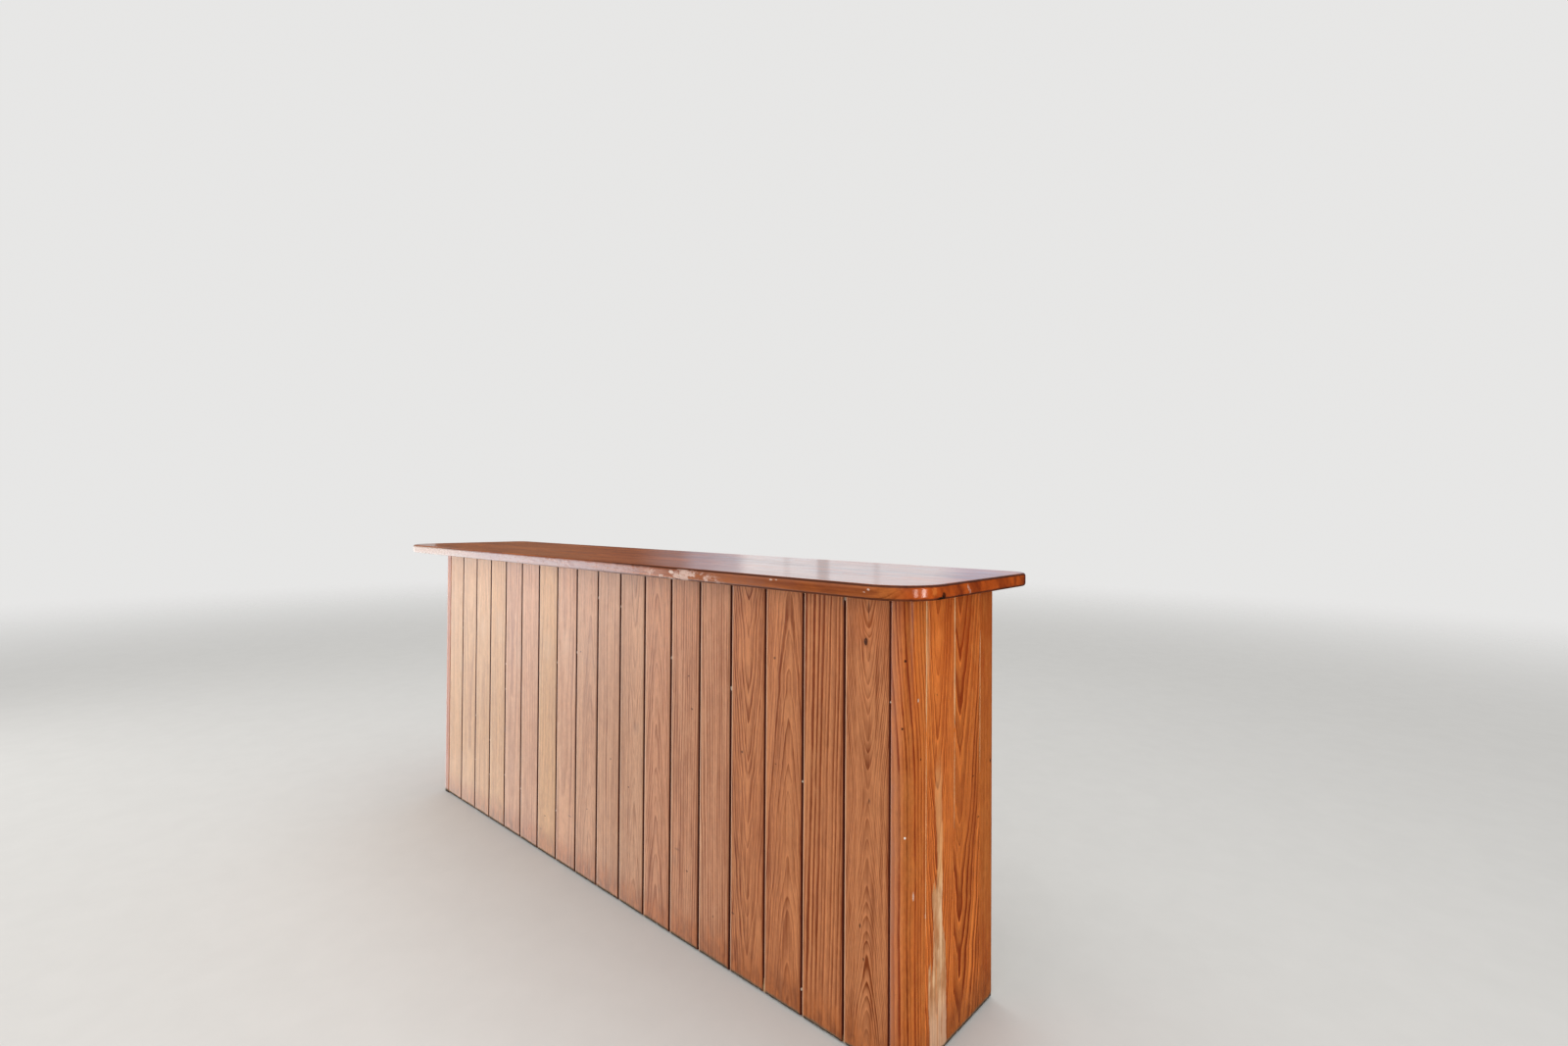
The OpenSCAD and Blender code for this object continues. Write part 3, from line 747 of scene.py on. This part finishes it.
def build_ends():
    widths = [PITCH, PITCH, 0.068]
    for side, word in ((1, "right"), (-1, "left")):
        y = Y_END0
        for k, how in enumerate(ENDS, 1):
            wide = widths[k - 1]
            how = dict(how)
            if side < 0:
                how.pop("sap", None)
                how["taper"] = how.get("taper", 0.0) * (-0.8 if k == 1 else 0.7)
                how.pop("patches", None)
                how["pith"] = (-how["pith"][0], how["pith"][1] + 9)
                how["specks"] = [(-20 + 30 * k, 0.31 * k, 3.5, 3, 0.6)]
            m = wood(f"pine_end_{word}_{k}", end_place(side, y + wide / 2, X_END), seed=30 + 2.3 * k + side * 4,
                     worn=True, back=9, gloss=0.27, joint=(64.7 if k < 3 else 33.7, 0), **how)
            varnished_board(f"end_cladding_{word}_{k}", f"end_board_{word}_{k}",
                            lambda u, d, z, y=y, s=side: (s * (X_END - d), y + u, z), wide,
                            0.6 * MM, 0.5 * MM, Z0, Z1, m, "end_boards", 21.7 + k + side * 0.37,
                            tongue=k < 3, groove=k > 1, ragged=0.7, crown=0.15, waver=0.08)
            y += wide


# Nail holes and drops of pale paint on the right post: across from its middle, down, and up.
WHITE = (0.82, 0.78, 0.72)
POST_MARKS = [(11.7, 1.2, 0.927, 3.2, 5.0, 3.4, 0.95, SPECK), (5.4, 0.0, 0.7775, 3.2, 5.0, 3.4, 0.95, SPECK),
              (26.5, 43.1, 0.703, 5.0, 3.4, 3.6, 0.9, SPECK), (26.5, 32.1, 0.837, 5.0, 2.6, 4.6, 0.95, WHITE),
              (12.1, 1.3, 0.537, 2.6, 5.0, 3.2, 0.9, WHITE), (26.5, 67.0, 0.345, 5.0, 3.0, 9.0, 0.75, WHITE),
              (25.7, 16.0, 0.407, 4.0, 3.0, 12.0, 0.45, WHITE)]


def build_posts():
    for side, word in ((1, "right"), (-1, "left")):
        r = 22 * MM
        arc = [(53 * MM - r + r * math.sin(a), r - r * math.cos(a))
               for a in [math.radians(x * 7.5) for x in range(0, 13)]]
        outline = [(0.0, 3.0 * MM), (0.5 * MM, 1.7 * MM), (1.7 * MM, 0.5 * MM), (3.0 * MM, 0.0)]
        outline = outline + arc + [(53 * MM, 66.7 * MM), (52.4 * MM, 67 * MM), (0.0, 67 * MM)]
        outline = refine(outline, 4 * MM, lambda p, q: (p[1] < 1e-6 and q[1] < 1e-6) or (p[0] > 52.9 * MM and q[0] > 52.9 * MM))
        shape = board_shape(53 * MM, 0.0, Z1, 60.0 + side, ragged=0.25, crown=0.0, waver=0.12)
        # The post's colour: the bluer tint and the pinkish patch on its front are painted sheen, and the gains across
        # it are painted shade, darkest partway round the rounded corner.
        m = wood(f"pine_post_{word}", ((0, side, -(1.170 + 0.0265)), (1, 1.0, -Y_FACE), (2, 1.0, 0.0)),
                 tone="orange", spacing=9.0, pith=(-230, -190), tilt=(-10, 0), contrast=1.02, late=(0.42, 0.80), fine=0.7, swerve=(0.66, 1.07, 26.0),
                 sway=3.0, wave=2.6, uneven=0.34, seed=51 + side, worn=True, gloss=0.30, lift=0.93, joint=(25.6, 0),
                 sheen_tint=(-4.0, 16.0, (0.92, 1.04, 1.75)), inside=(17.0, 23.0), dots=POST_MARKS if side > 0 else (),
                 patches=[(-24, 0.55, 24, 1400, 0.65, (0.455, 0.205, 0.122))],
                 shade_levels=[(-0.028, 0.86), (-0.010, 0.82), (0.004, 0.80), (0.013, 0.66), (0.020, 0.62), (0.024, 0.72),
                         (0.0260, 0.92), (0.0263, 1.0), (0.028, 1.0)])
        bm = upright_mesh(outline, lambda u, d, z, s=side: (s * (1.170 + u), Y_FACE + d, z), 0.0, Z1, shape)
        obj = new_object(f"rounded_post_{word}", bm, m, "end_boards")
        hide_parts(f"corner_post_{word}")


# ---------------------------------------------------------------- countertop

def slab_outline(step=5 * MM):
    """The edge of the top, counter-clockwise, with the way out at each point."""
    L, W, rf, rb = 1.319, 0.280, 0.115, 0.050
    out = []

    def arc(cx, cy, r, a0, a1, n):
        for k in range(n + 1):
            a = math.radians(a0 + (a1 - a0) * k / n)
            out.append((cx + r * math.cos(a), cy + r * math.sin(a), math.cos(a), math.sin(a)))

    def line(x0, y0, x1, y1, nx, ny):
        n = max(1, int(math.hypot(x1 - x0, y1 - y0) / step))
        for k in range(1, n):
            s = k / n
            out.append((x0 + (x1 - x0) * s, y0 + (y1 - y0) * s, nx, ny))

    arc(-L + rf, -W + rf, rf, 180, 270, 40)
    line(-L + rf, -W, L - rf, -W, 0, -1)
    arc(L - rf, -W + rf, rf, 270, 360, 40)
    line(L, -W + rf, L, W - rb, 1, 0)
    arc(L - rb, W - rb, rb, 0, 90, 20)
    line(L - rb, W, -L + rb, W, 0, 1)
    arc(-L + rb, W - rb, rb, 90, 180, 20)
    line(-L, W - rb, -L, -W + rf, -1, 0)
    return out


def slab_rows():
    """Inset and depth below the surface, from the top face round the edge to the underside."""
    r, t = 8 * MM, 33 * MM
    rows = [(r + 2.0 * MM, 0.0), (r, 0.0)]
    for k in range(1, 9):
        a = math.radians(k * 90 / 8)
        rows.append((r - r * math.sin(a), r - r * math.cos(a)))
    rows += [(0.0, r + (t - 2 * r) * k / 4) for k in (1, 2, 3)]
    for k in range(0, 8):
        a = math.radians(90 - k * 90 / 8)
        rows.append((r - r * math.sin(a), t - r + r * math.cos(a)))
    return rows + [(r, t), (r + 2.0 * MM, t)]


def slab():
    bm = bmesh.new()
    outline = slab_outline()
    rings = []
    for inset, depth in slab_rows():
        ring = []
        for x, y, nx, ny in outline:
            side = max(0.0, 1 - inset / (8 * MM))
            # worn stretch of the front edge, and the slight waver of a hand-sanded edge
            dent = 0.12 * MM * (1 + n1(x * 9, y * 9, depth * 40)) * side
            if ny < -0.5:
                worn = ease(abs(x + 0.02), 0.36, 0.12)
                chip = max(0.0, n1(x * 33, depth * 110, 2.7) + 0.35 * n1(x * 95, depth * 190, 5.1) - 0.08)
                dent += side * worn * min(0.9, chip * 2.2) * MM
            ring.append(bm.verts.new((x - nx * (inset + dent), y - ny * (inset + dent), 1.108 - depth)))
        rings.append(ring)
    n = len(outline)
    for a, b in zip(rings, rings[1:]):
        for i in range(n):
            j = (i + 1) % n
            bm.faces.new((a[i], b[i], b[j], a[j]))
    bm.faces.new(rings[0])
    bm.faces.new(list(reversed(rings[-1])))
    return bm


CHIP = (0.66, 0.50, 0.42)
TOPS = [
    D(tone="top", spacing=9.0, pith=(-330, -160), tilt=(16, 0), contrast=0.5, sway=5.0, wave=4.0, uneven=0.5, rim="front",
      milky=(0.12, 0.66, 0.48, 0.72), breadth=0.6, fine=0.9, lift=0.94, bump=0.5, patches=[(-74, 0.9, 14, 900, 0.45, (0.240, 0.066, 0.032)), (-74, 0.80, 14, 250, 0.50, (0.350, 0.165, 0.108))],
      dots=[(-70, 13, 0.562, 5, 5.5, 13, 0.85, (0.72, 0.55, 0.47)), (-70, 20, 0.598, 5, 3.4, 12, 0.75, CHIP), (-70, 24, 0.520, 5, 2.6, 10, 0.7, CHIP),
            (-70, 11, 0.655, 4, 2.2, 7, 0.6, CHIP), (-70, 9, 0.930, 4, 2.4, 6, 0.75, CHIP), (-70, 8, 0.947, 3, 1.8, 4, 0.6, CHIP), (-70, 11, 1.208, 5, 2.6, 4, 0.75, CHIP),
            (-68, 17, 1.198, 4, 1.8, 5, 0.6, CHIP), (40, 33, 1.319, 19, 10, 14, 0.97, (0.014, 0.005, 0.0025)),
            (46, 24, 1.319, 9, 10, 12, 0.85, (0.025, 0.007, 0.003)), (14, 14, 1.319, 10, 12, 10, 0.5, (0.80, 0.24, 0.05))]),
    D(tone="top", spacing=9, pith=(-10, 45), taper=-0.035, contrast=1.0, sway=5.0, rim=True, bump=0.7, breadth=1.0, lift=1.12,
      dots=[(-39.5, 0, 1.005, 4.2, 8, 4.2, 0.95, (0.03, 0.012, 0.008)), (10, 12, 1.319, 2.2, 6, 10, 0.7, CHIP),
            (15, 17, 1.319, 2.4, 6, 10, 0.7, CHIP), (21, 24, 1.319, 2.2, 6, 10, 0.65, CHIP),
            (112, 16, 1.319, 12, 30, 14, 0.6, (0.13, 0.012, 0.002))]),
    D(tone="top", spacing=8, pith=(60, 60), tilt=(4, 6), contrast=1.0, sway=5.0, rim=True, bump=0.7, breadth=1.1, lift=0.90),
    D(tone="top", spacing=9, pith=(-40, 55), taper=0.030, contrast=1.0, sway=5.0, rim=True, bump=0.7, breadth=1.0, lift=1.08,
      dots=[(46, 16, 1.312, 36, 40, 30, 0.85, (0.105, 0.013, 0.005)), (-30, 12, 1.319, 9, 26, 12, 0.45, (0.13, 0.014, 0.004))]),
]


def build_top():
    whole = slab()
    for k, how in enumerate(TOPS, 1):
        lo, hi = -0.280 + (k - 1) * 0.140 + 0.2 * MM, -0.280 + k * 0.140 - 0.2 * MM
        bm = whole.copy()
        for y, keep_above in ((lo, True), (hi, False)):
            if (k == 1 and keep_above) or (k == 4 and not keep_above):
                continue
            geom = bm.verts[:] + bm.edges[:] + bm.faces[:]
            res = bmesh.ops.bisect_plane(bm, geom=geom, dist=1e-7, plane_co=(0, y, 0), plane_no=(0, 1, 0),
                                         clear_inner=keep_above, clear_outer=not keep_above)
            edges = [e for e in res["geom_cut"] if isinstance(e, bmesh.types.BMEdge)]
            bmesh.ops.holes_fill(bm, edges=edges, sides=0)
        big = [f for f in bm.faces if len(f.verts) > 4]
        bmesh.ops.triangulate(bm, faces=big)
        m = wood(f"varnished_top_{k}", ((1, 1.0, -(lo + hi) / 2), (2, -1.0, 1.108), (0, 1.0, 0.0)),
                 seed=70 + k * 2.9, gloss=0.17, finish="gloss", **how)
        obj = new_object(f"counter_plank_{k}", bm, m, "countertop")
        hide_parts(f"top_plank_{k}")
    whole.free()


# ---------------------------------------------------------------- small pieces

def putty(name, light, deep, seed, gloss=0.5):
    t = Tree(name)
    pos = t.node("ShaderNodeTexCoord").outputs["Object"]
    lumps = t.noise(pos, (420.0, 420.0, 260.0), seed, 4.0, 0.65)
    stain = t.noise(pos, (60.0, 60.0, 35.0), seed + 5, 3.0, 0.6)
    colour = t.mix(t.span(t.math("MULTIPLY_ADD", stain, 0.8, lumps), -1.0, 1.1), light, deep)
    rough = t.math("MULTIPLY_ADD", lumps, 0.10, gloss)
    return t.surface(colour, rough, t.bump(lumps, 0.5, 0.4 * MM), IOR=1.45, Specular_IOR_Level=0.5)


# Crumbs of filler that bridge the joints: the joint's number, height, and height of the crumb in millimetres.
CRUMBS = [(1, 0.750, 8), (1, 0.780, 6), (2, 0.395, 9), (2, 0.210, 7), (3, 0.320, 8), (3, 0.180, 7), (4, 0.650, 9), (4, 0.550, 6),
          (4, 0.210, 8), (5, 0.190, 8), (7, 0.712, 9), (7, 0.180, 7), (8, 0.766, 9), (9, 0.967, 10), (10, 0.950, 9), (12, 0.820, 9),
          (14, 0.773, 13), (16, 0.585, 6), (16, 0.070, 8), (17, 1.055, 16), (18, 0.830, 5), (18, 1.062, 7)]


def build_crumbs():
    m = putty("pale_filler", (0.560, 0.470, 0.390), (0.300, 0.215, 0.150), 4.0, 0.6)
    bm = bmesh.new()
    for k, (joint, z, tall) in enumerate(CRUMBS):
        x = X0 + joint * PITCH
        made = bmesh.ops.create_icosphere(bm, subdivisions=2, radius=1.0)
        for v in made["verts"]:
            c = v.co
            swell = 1 + 0.28 * n1(c.x * 1.3 + k, c.y * 1.3, c.z * 1.3) + 0.16 * n1(c.x * 3.1, c.y * 3.1 + k, c.z * 3.1)
            v.co = Vector((x - 0.4 * MM + c.x * 2.9 * MM * swell, Y_FACE + 2.7 * MM + c.y * 2.2 * MM * swell,
                           z + c.z * tall / 2 * MM * swell))
    obj = new_object("joint_filler_crumbs", bm, m, "front_boards", angle=60)
    return obj


def build_slivers():
    """Splinters that have lifted beside two joints, near the floor."""
    m = wood("splintered_wood", ((0, 1.0, 0.0), (1, 1.0, 0.0), (2, 1.0, 0.0)), tone="bare", spacing=3.0, pith=(-300, 40),
             seed=33, finish="bare", gloss=0.7, lift=0.85)
    bm = bmesh.new()
    for x, z0, z1, wide in ((X0 + 15 * PITCH + 0.6 * MM, 0.006, 0.041, 3.4), (X0 + 15 * PITCH - 1.2 * MM, 0.006, 0.024, 2.0),
                            (X0 + 17 * PITCH + 0.3 * MM, 0.006, 0.022, 2.2)):
        rows = []
        for k in range(9):
            s = k / 8
            z = z0 + (z1 - z0) * s
            half = wide / 2 * MM * (1 - s ** 2.2) * (0.85 + 0.3 * n1(x * 90, z * 300)) + 0.12 * MM
            lean = 0.8 * MM * n1(x * 50, z * 60)
            y = Y_FACE + (1.9 - 0.7 * s) * MM
            ring = [(x - half + lean, y), (x + half * 0.2 + lean, y - 0.9 * MM * (1 - 0.6 * s)), (x + half + lean, y), (x + lean, y + 1.2 * MM)]
            rows.append([bm.verts.new((a, b, z)) for a, b in ring])
        for a, b in zip(rows, rows[1:]):
            for i in range(4):
                bm.faces.new((a[i], a[(i + 1) % 4], b[(i + 1) % 4], b[i]))
        bm.faces.new(rows[0])
        bm.faces.new(list(reversed(rows[-1])))
    new_object("lifted_slivers", bm, m, "front_boards", angle=50)


def build_beads():
    """Thin pale beads of filler in the upper parts of the end's tight joints, pale as a painted highlight along the
    joints.
    """
    m = putty("amber_filler_highlight", (0.950, 0.640, 0.370), (0.760, 0.360, 0.130), 9.0, 0.30)
    for side, word in ((1, "right"), (-1, "left")):
        bm = bmesh.new()
        for y, z0, z1, wide in ((Y_END0, 0.76, 1.0745, 5.2), (Y_END0, 0.30, 0.75, 2.4), (Y_END0 + PITCH, 0.74, 1.0745, 3.8),
                                (Y_END0 + PITCH, 0.50, 0.73, 1.6), (Y_END0 + 2 * PITCH, 0.60, 0.96, 1.5)):
            n = int((z1 - z0) / 0.012)
            rows = []
            for k in range(n + 1):
                z = z0 + (z1 - z0) * k / n
                end = min(1.0, k / 4, (n - k) / 4 + (1.0 if z1 > 1.07 else 0.0)) + 0.05
                half = wide / 2 * MM * (1 + 0.45 * n1(z * 31, y * 7, side) + 0.25 * n1(z * 90, y * 7, 4.0)) * min(1.0, end)
                half = max(half, 0.15 * MM)
                mid = y + 0.25 * MM * n1(z * 12, y * 11, 2.0)
                proud = 0.28 * MM * min(1.0, half / (0.7 * MM))
                prof = [(-1.0, -0.35), (-0.72, 0.55), (0.0, 1.0), (0.72, 0.55), (1.0, -0.35)]
                rows.append([bm.verts.new((side * (X_END + (proud * h if h > 0 else h * MM)), mid + half * a, z)) for a, h in prof])
            for a, b in zip(rows, rows[1:]):
                for i in range(4):
                    bm.faces.new((a[i], a[i + 1], b[i + 1], b[i]))
                bm.faces.new((a[4], a[0], b[0], b[4]))
            bm.faces.new(rows[0])
            bm.faces.new(list(reversed(rows[-1])))
        new_object(f"end_joint_highlight_beads_{word}", bm, m, "end_boards", angle=60)


# ---------------------------------------------------------------- frame

def build_frame():
    kinds = {
        "bottom_rail_front": "x", "middle_rails_front": "x", "top_rail_front": "x", "bottom_rail_back": "x",
        "top_rail_back": "x", "studs_front": "z", "studs_back": "z", "end_rails_left": "y", "end_rails_right": "y",
        "cross_rails": "y", "shelf": "x",
    }
    for i, (name, axis) in enumerate(kinds.items()):
        lo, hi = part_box(name)
        mid = (lo + hi) / 2
        if axis == "x":
            place = ((2, 1.0, -mid.z), (1, -1.0, hi.y), (0, 1.0, 0.0))
        elif axis == "z":
            place = ((0, 1.0, 0.0), (1, -1.0, hi.y), (2, 1.0, 0.0))
        else:
            place = ((2, 1.0, -mid.z), (0, -1.0, hi.x), (1, 1.0, 0.0))
        if name == "shelf":
            place = ((1, 1.0, -mid.y), (2, -1.0, hi.z), (0, 1.0, 0.0))
        m = wood(f"bare_{name}", place, tone="bare", spacing=4.6 + 0.3 * (i % 4), pith=(12 - 9 * (i % 3), 46 + 7 * (i % 4)),
                 tilt=(0, 8 - 5 * (i % 4)), contrast=0.85, seed=90 + i * 1.9, gloss=0.62, finish="bare")
        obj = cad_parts[name]
        obj.data.materials.clear()
        obj.data.materials.append(m)
        weld = obj.modifiers.new("weld", "WELD")
        weld.merge_threshold = 1e-5
        bev = obj.modifiers.new("eased_edges", "BEVEL")
        bev.width = 2.2 * MM
        bev.segments = 3
        bev.limit_method = "ANGLE"
        bev.harden_normals = False


# ---------------------------------------------------------------- studio

def build_camera():
    yaw, pitch, roll = (math.radians(a) for a in (42.3085, 0.6161, 0.3487))
    fwd = Vector((-math.sin(yaw), math.cos(yaw), 0))
    right = Vector((math.cos(yaw), math.sin(yaw), 0))
    up = Vector((0, 0, 1))
    f2 = fwd * math.cos(pitch) + up * math.sin(pitch)
    u2 = -fwd * math.sin(pitch) + up * math.cos(pitch)
    r3 = right * math.cos(roll) + u2 * math.sin(roll)
    u3 = -right * math.sin(roll) + u2 * math.cos(roll)
    cam = bpy.data.cameras.new("camera")
    cam.sensor_fit = "HORIZONTAL"
    cam.sensor_width = 36.0
    cam.lens = 722.9956 / 1600 * 36.0
    cam.shift_y = (516.6415 - 533.5) / 1600
    cam.clip_start = 0.02
    obj = bpy.data.objects.new("camera", cam)
    m = Matrix((r3, u3, -f2)).transposed().to_4x4()
    m.translation = Vector((2.0679, -1.4851, 1.2522))
    obj.matrix_world = m
    bpy.context.scene.collection.objects.link(obj)
    bpy.context.scene.camera = obj


def area(name, place, aim, wide, high, power, colour, gloss_only=False):
    light = bpy.data.lights.new(name, "AREA")
    light.shape = "RECTANGLE"
    light.size, light.size_y = wide, high
    light.energy = power
    light.color = colour
    obj = bpy.data.objects.new(name, light)
    obj.location = place
    obj.rotation_mode = "QUATERNION"
    obj.rotation_quaternion = (Vector(aim) - Vector(place)).to_track_quat("-Z", "Y")
    obj.visible_camera = False
    if gloss_only:
        obj.visible_diffuse = False
        obj.visible_transmission = False
        obj.visible_volume_scatter = False
    bpy.context.scene.collection.objects.link(obj)
    return obj


def stage_plane(name, corners, material):
    """A flat sheet of the studio, seen only where the varnish mirrors it."""
    mesh = bpy.data.meshes.new(name)
    mesh.from_pydata(corners, [], [(0, 1, 2, 3)])
    mesh.materials.append(material)
    obj = bpy.data.objects.new(name, mesh)
    bpy.context.scene.collection.objects.link(obj)
    for kind in ("camera", "diffuse", "transmission", "volume_scatter", "shadow"):
        setattr(obj, "visible_" + kind, False)
    return obj


def back_card():
    """The sheet that the top mirrors: warm and dark on the left, bright with a few upright bars on the right."""
    t = Tree("back_card")
    pos = t.node("ShaderNodeTexCoord").outputs["Object"]
    sep = t.node("ShaderNodeSeparateXYZ")
    t.put(sep.inputs[0], pos)
    ramp = t.node("ShaderNodeValToRGB")
    stops = [(-2.6, (0.22, 0.130, 0.095)), (-1.55, (0.21, 0.105, 0.080)), (-1.12, (0.30, 0.24, 0.25)), (-0.92, (0.46, 0.46, 0.53)),
             (-0.65, (0.60, 0.64, 0.72)), (-0.52, (1.00, 1.07, 1.12)), (0.10, (0.94, 1.03, 1.10)), (0.52, (0.93, 1.01, 1.08)),
             (0.74, (0.62, 0.68, 0.84)), (0.95, (0.66, 0.66, 0.76)), (1.12, (0.58, 0.46, 0.46))]
    lo, hi = -3.0, 2.0
    ramp.color_ramp.interpolation = "EASE"
    el = ramp.color_ramp.elements
    while len(el) < len(stops):
        el.new(0.5)
    for e, (x, c) in zip(el, stops):
        e.position = (x - lo) / (hi - lo)
        e.color = (*c, 1.0)
    t.put(ramp.inputs[0], t.span(sep.outputs[0], lo, hi, smooth=False))
    bar = t.span(t.math("ABSOLUTE", t.sub(sep.outputs[0], -0.04)), 0.050, 0.020)
    level = t.sub(1.0, t.mul(bar, 0.34))
    for x, half, depth in ((0.265, 0.024, 0.16), (-0.27, 0.030, 0.13)):
        bar = t.span(t.math("ABSOLUTE", t.sub(sep.outputs[0], x)), half, half * 0.3)
        level = t.sub(level, t.mul(bar, depth))
    level = t.mul(level, t.span(sep.outputs[2], 1.08, 1.20, 0.55, 1.0))
    e = t.node("ShaderNodeEmission")
    t.put(e.inputs["Color"], ramp.outputs[0])
    t.put(e.inputs["Strength"], level)
    out = t.node("ShaderNodeOutputMaterial")
    t.nt.links.new(e.outputs[0], out.inputs[0])
    y = 1.106
    stage_plane("back_card", [(-4.5, y, 0.9), (1.25, y, 0.9), (1.25, y, 2.3), (-4.5, y, 2.3)], t.mat)


def side_card():
    """The sheet beyond the left end that the front boards' varnish mirrors, brighter towards its top."""
    t = Tree("side_card")
    pos = t.node("ShaderNodeTexCoord").outputs["Object"]
    sep = t.node("ShaderNodeSeparateXYZ")
    t.put(sep.inputs[0], pos)
    level = t.span(sep.outputs[2], 0.0, 0.90, 2.45, 4.10)
    level = t.mul(level, t.span(sep.outputs[1], -0.30, -0.95, 0.86, 1.12))
    e = t.node("ShaderNodeEmission")
    e.inputs["Color"].default_value = (0.95, 0.975, 1.0, 1.0)
    t.put(e.inputs["Strength"], level)
    out = t.node("ShaderNodeOutputMaterial")
    t.nt.links.new(e.outputs[0], out.inputs[0])
    stage_plane("side_card", [(-1.72, -1.96, 0.0), (-1.72, -0.30, 0.0), (-1.72, -0.30, 1.12), (-1.72, -1.96, 1.12)], t.mat)


def build_studio():
    scene = bpy.context.scene
    scene.view_settings.view_transform = "Standard"
    scene.view_settings.look = "None"
    scene.view_settings.exposure = 0.0
    scene.view_settings.gamma = 1.0

    world = bpy.data.worlds.new("studio")
    scene.world = world
    world.use_nodes = True
    nt = world.node_tree
    nt.nodes.clear()
    t = Tree.__new__(Tree)
    t.nt = nt
    direction = t.node("ShaderNodeTexCoord").outputs["Generated"]
    sep = t.node("ShaderNodeSeparateXYZ")
    t.put(sep.inputs[0], direction)
    toward = t.add(t.mul(sep.outputs[0], 0.55), t.mul(sep.outputs[1], 0.83))
    horizon = t.span(toward, -0.35, 0.55, 0.55, 0.045)
    level = t.span(sep.outputs[2], 0.22, 0.75)
    strength = t.add(t.mul(horizon, t.sub(1.0, level)), t.mul(level, 0.95))
    path = t.node("ShaderNodeLightPath")
    # what the varnish mirrors: little from above, and a bright pool only below the side panel
    turn = t.math("ARCTAN2", t.mul(sep.outputs[1], -1.0), t.mul(sep.outputs[0], -1.0))
    pool = t.mul(t.span(turn, math.radians(44), math.radians(27)), t.span(turn, math.radians(-30), math.radians(0)))
    under = t.span(sep.outputs[2], 0.01, -0.06)
    steep = t.span(sep.outputs[2], -0.64, -0.52)
    ahead = t.mul(t.span(turn, math.radians(84), math.radians(60)), t.span(turn, math.radians(-75), math.radians(-35)))
    mirror = t.mul(t.mul(t.mul(horizon, ahead), t.sub(1.0, under)), t.span(sep.outputs[2], 0.50, 0.15))
    mirror = t.add(t.math("MULTIPLY_ADD", t.mul(pool, t.mul(under, steep)), 2.95, mirror), 0.03)
    gloss = path.outputs["Is Glossy Ray"]
    strength = t.add(t.mul(strength, t.sub(1.0, gloss)), t.mul(mirror, gloss))
    seen = path.outputs["Is Camera Ray"]
    strength = t.add(t.mul(strength, t.sub(1.0, seen)), t.mul(seen, 0.80))
    back = t.node("ShaderNodeBackground")
    back.inputs["Color"].default_value = (1.0, 0.995, 0.985, 1.0)
    t.put(back.inputs["Strength"], strength)
    out = t.node("ShaderNodeOutputWorld")
    nt.links.new(back.outputs[0], out.inputs[0])

    # the strips light only the varnish's sheen, the softboxes all but the sheen
    area("edge_strip_a", (4.15, -1.10, 0.95), (1.30, -0.23, 1.09), 0.36, 0.8, 7.0, (1.0, 0.95, 0.88), gloss_only=True)
    area("edge_strip_b", (4.29, -0.13, 0.95), (1.30, -0.23, 1.09), 0.36, 0.8, 14.0, (1.0, 0.95, 0.88), gloss_only=True)
    area("key_softbox", (3.9, -2.9, 1.55), (0.7, 0.0, 0.75), 1.8, 1.6, 64.0, (1.0, 0.97, 0.93)).visible_glossy = False
    area("side_softbox", (-3.4, -3.2, 1.8), (-0.8, 0.0, 0.7), 1.8, 1.6, 27.0, (1.0, 0.985, 0.96)).visible_glossy = False
    area("overhead_softbox", (0.0, -0.2, 3.6), (0.0, 0.0, 0.0), 4.0, 2.6, 34.0, (1.0, 0.99, 0.97)).visible_glossy = False
    back_card()
    side_card()

    bm = bmesh.new()
    bmesh.ops.create_grid(bm, x_segments=8, y_segments=8, size=14.0)
    mesh = bpy.data.meshes.new("floor")
    bm.to_mesh(mesh)
    bm.free()
    floor = bpy.data.objects.new("floor", mesh)
    scene.collection.objects.link(floor)
    floor.visible_glossy = False
    f = Tree("pale_floor")
    pos = f.node("ShaderNodeTexCoord").outputs["Object"]
    fine = f.noise(pos, (9.0, 9.0, 9.0), 2.0, 4.0, 0.6)
    colour = f.mix(f.span(fine, -1.0, 1.0), (0.665, 0.660, 0.645), (0.690, 0.685, 0.670))
    p = f.node("ShaderNodeBsdfPrincipled")
    f.put(p.inputs["Base Color"], colour)
    p.inputs["Roughness"].default_value = 0.75
    p.inputs["Specular IOR Level"].default_value = 0.0
    length = f.node("ShaderNodeVectorMath", operation="LENGTH")
    f.put(length.inputs[0], pos)
    fade = f.span(length.outputs["Value"], 4.5, 12.5)
    clear = f.node("ShaderNodeBsdfTransparent")
    mixs = f.node("ShaderNodeMixShader")
    f.put(mixs.inputs[0], fade)
    f.nt.links.new(p.outputs[0], mixs.inputs[1])
    f.nt.links.new(clear.outputs[0], mixs.inputs[2])
    out = f.node("ShaderNodeOutputMaterial")
    f.nt.links.new(mixs.outputs[0], out.inputs[0])
    mesh.materials.append(f.mat)


build_camera()
build_front()
build_ends()
build_posts()
build_top()
build_crumbs()
build_slivers()
build_beads()
build_frame()
build_studio()
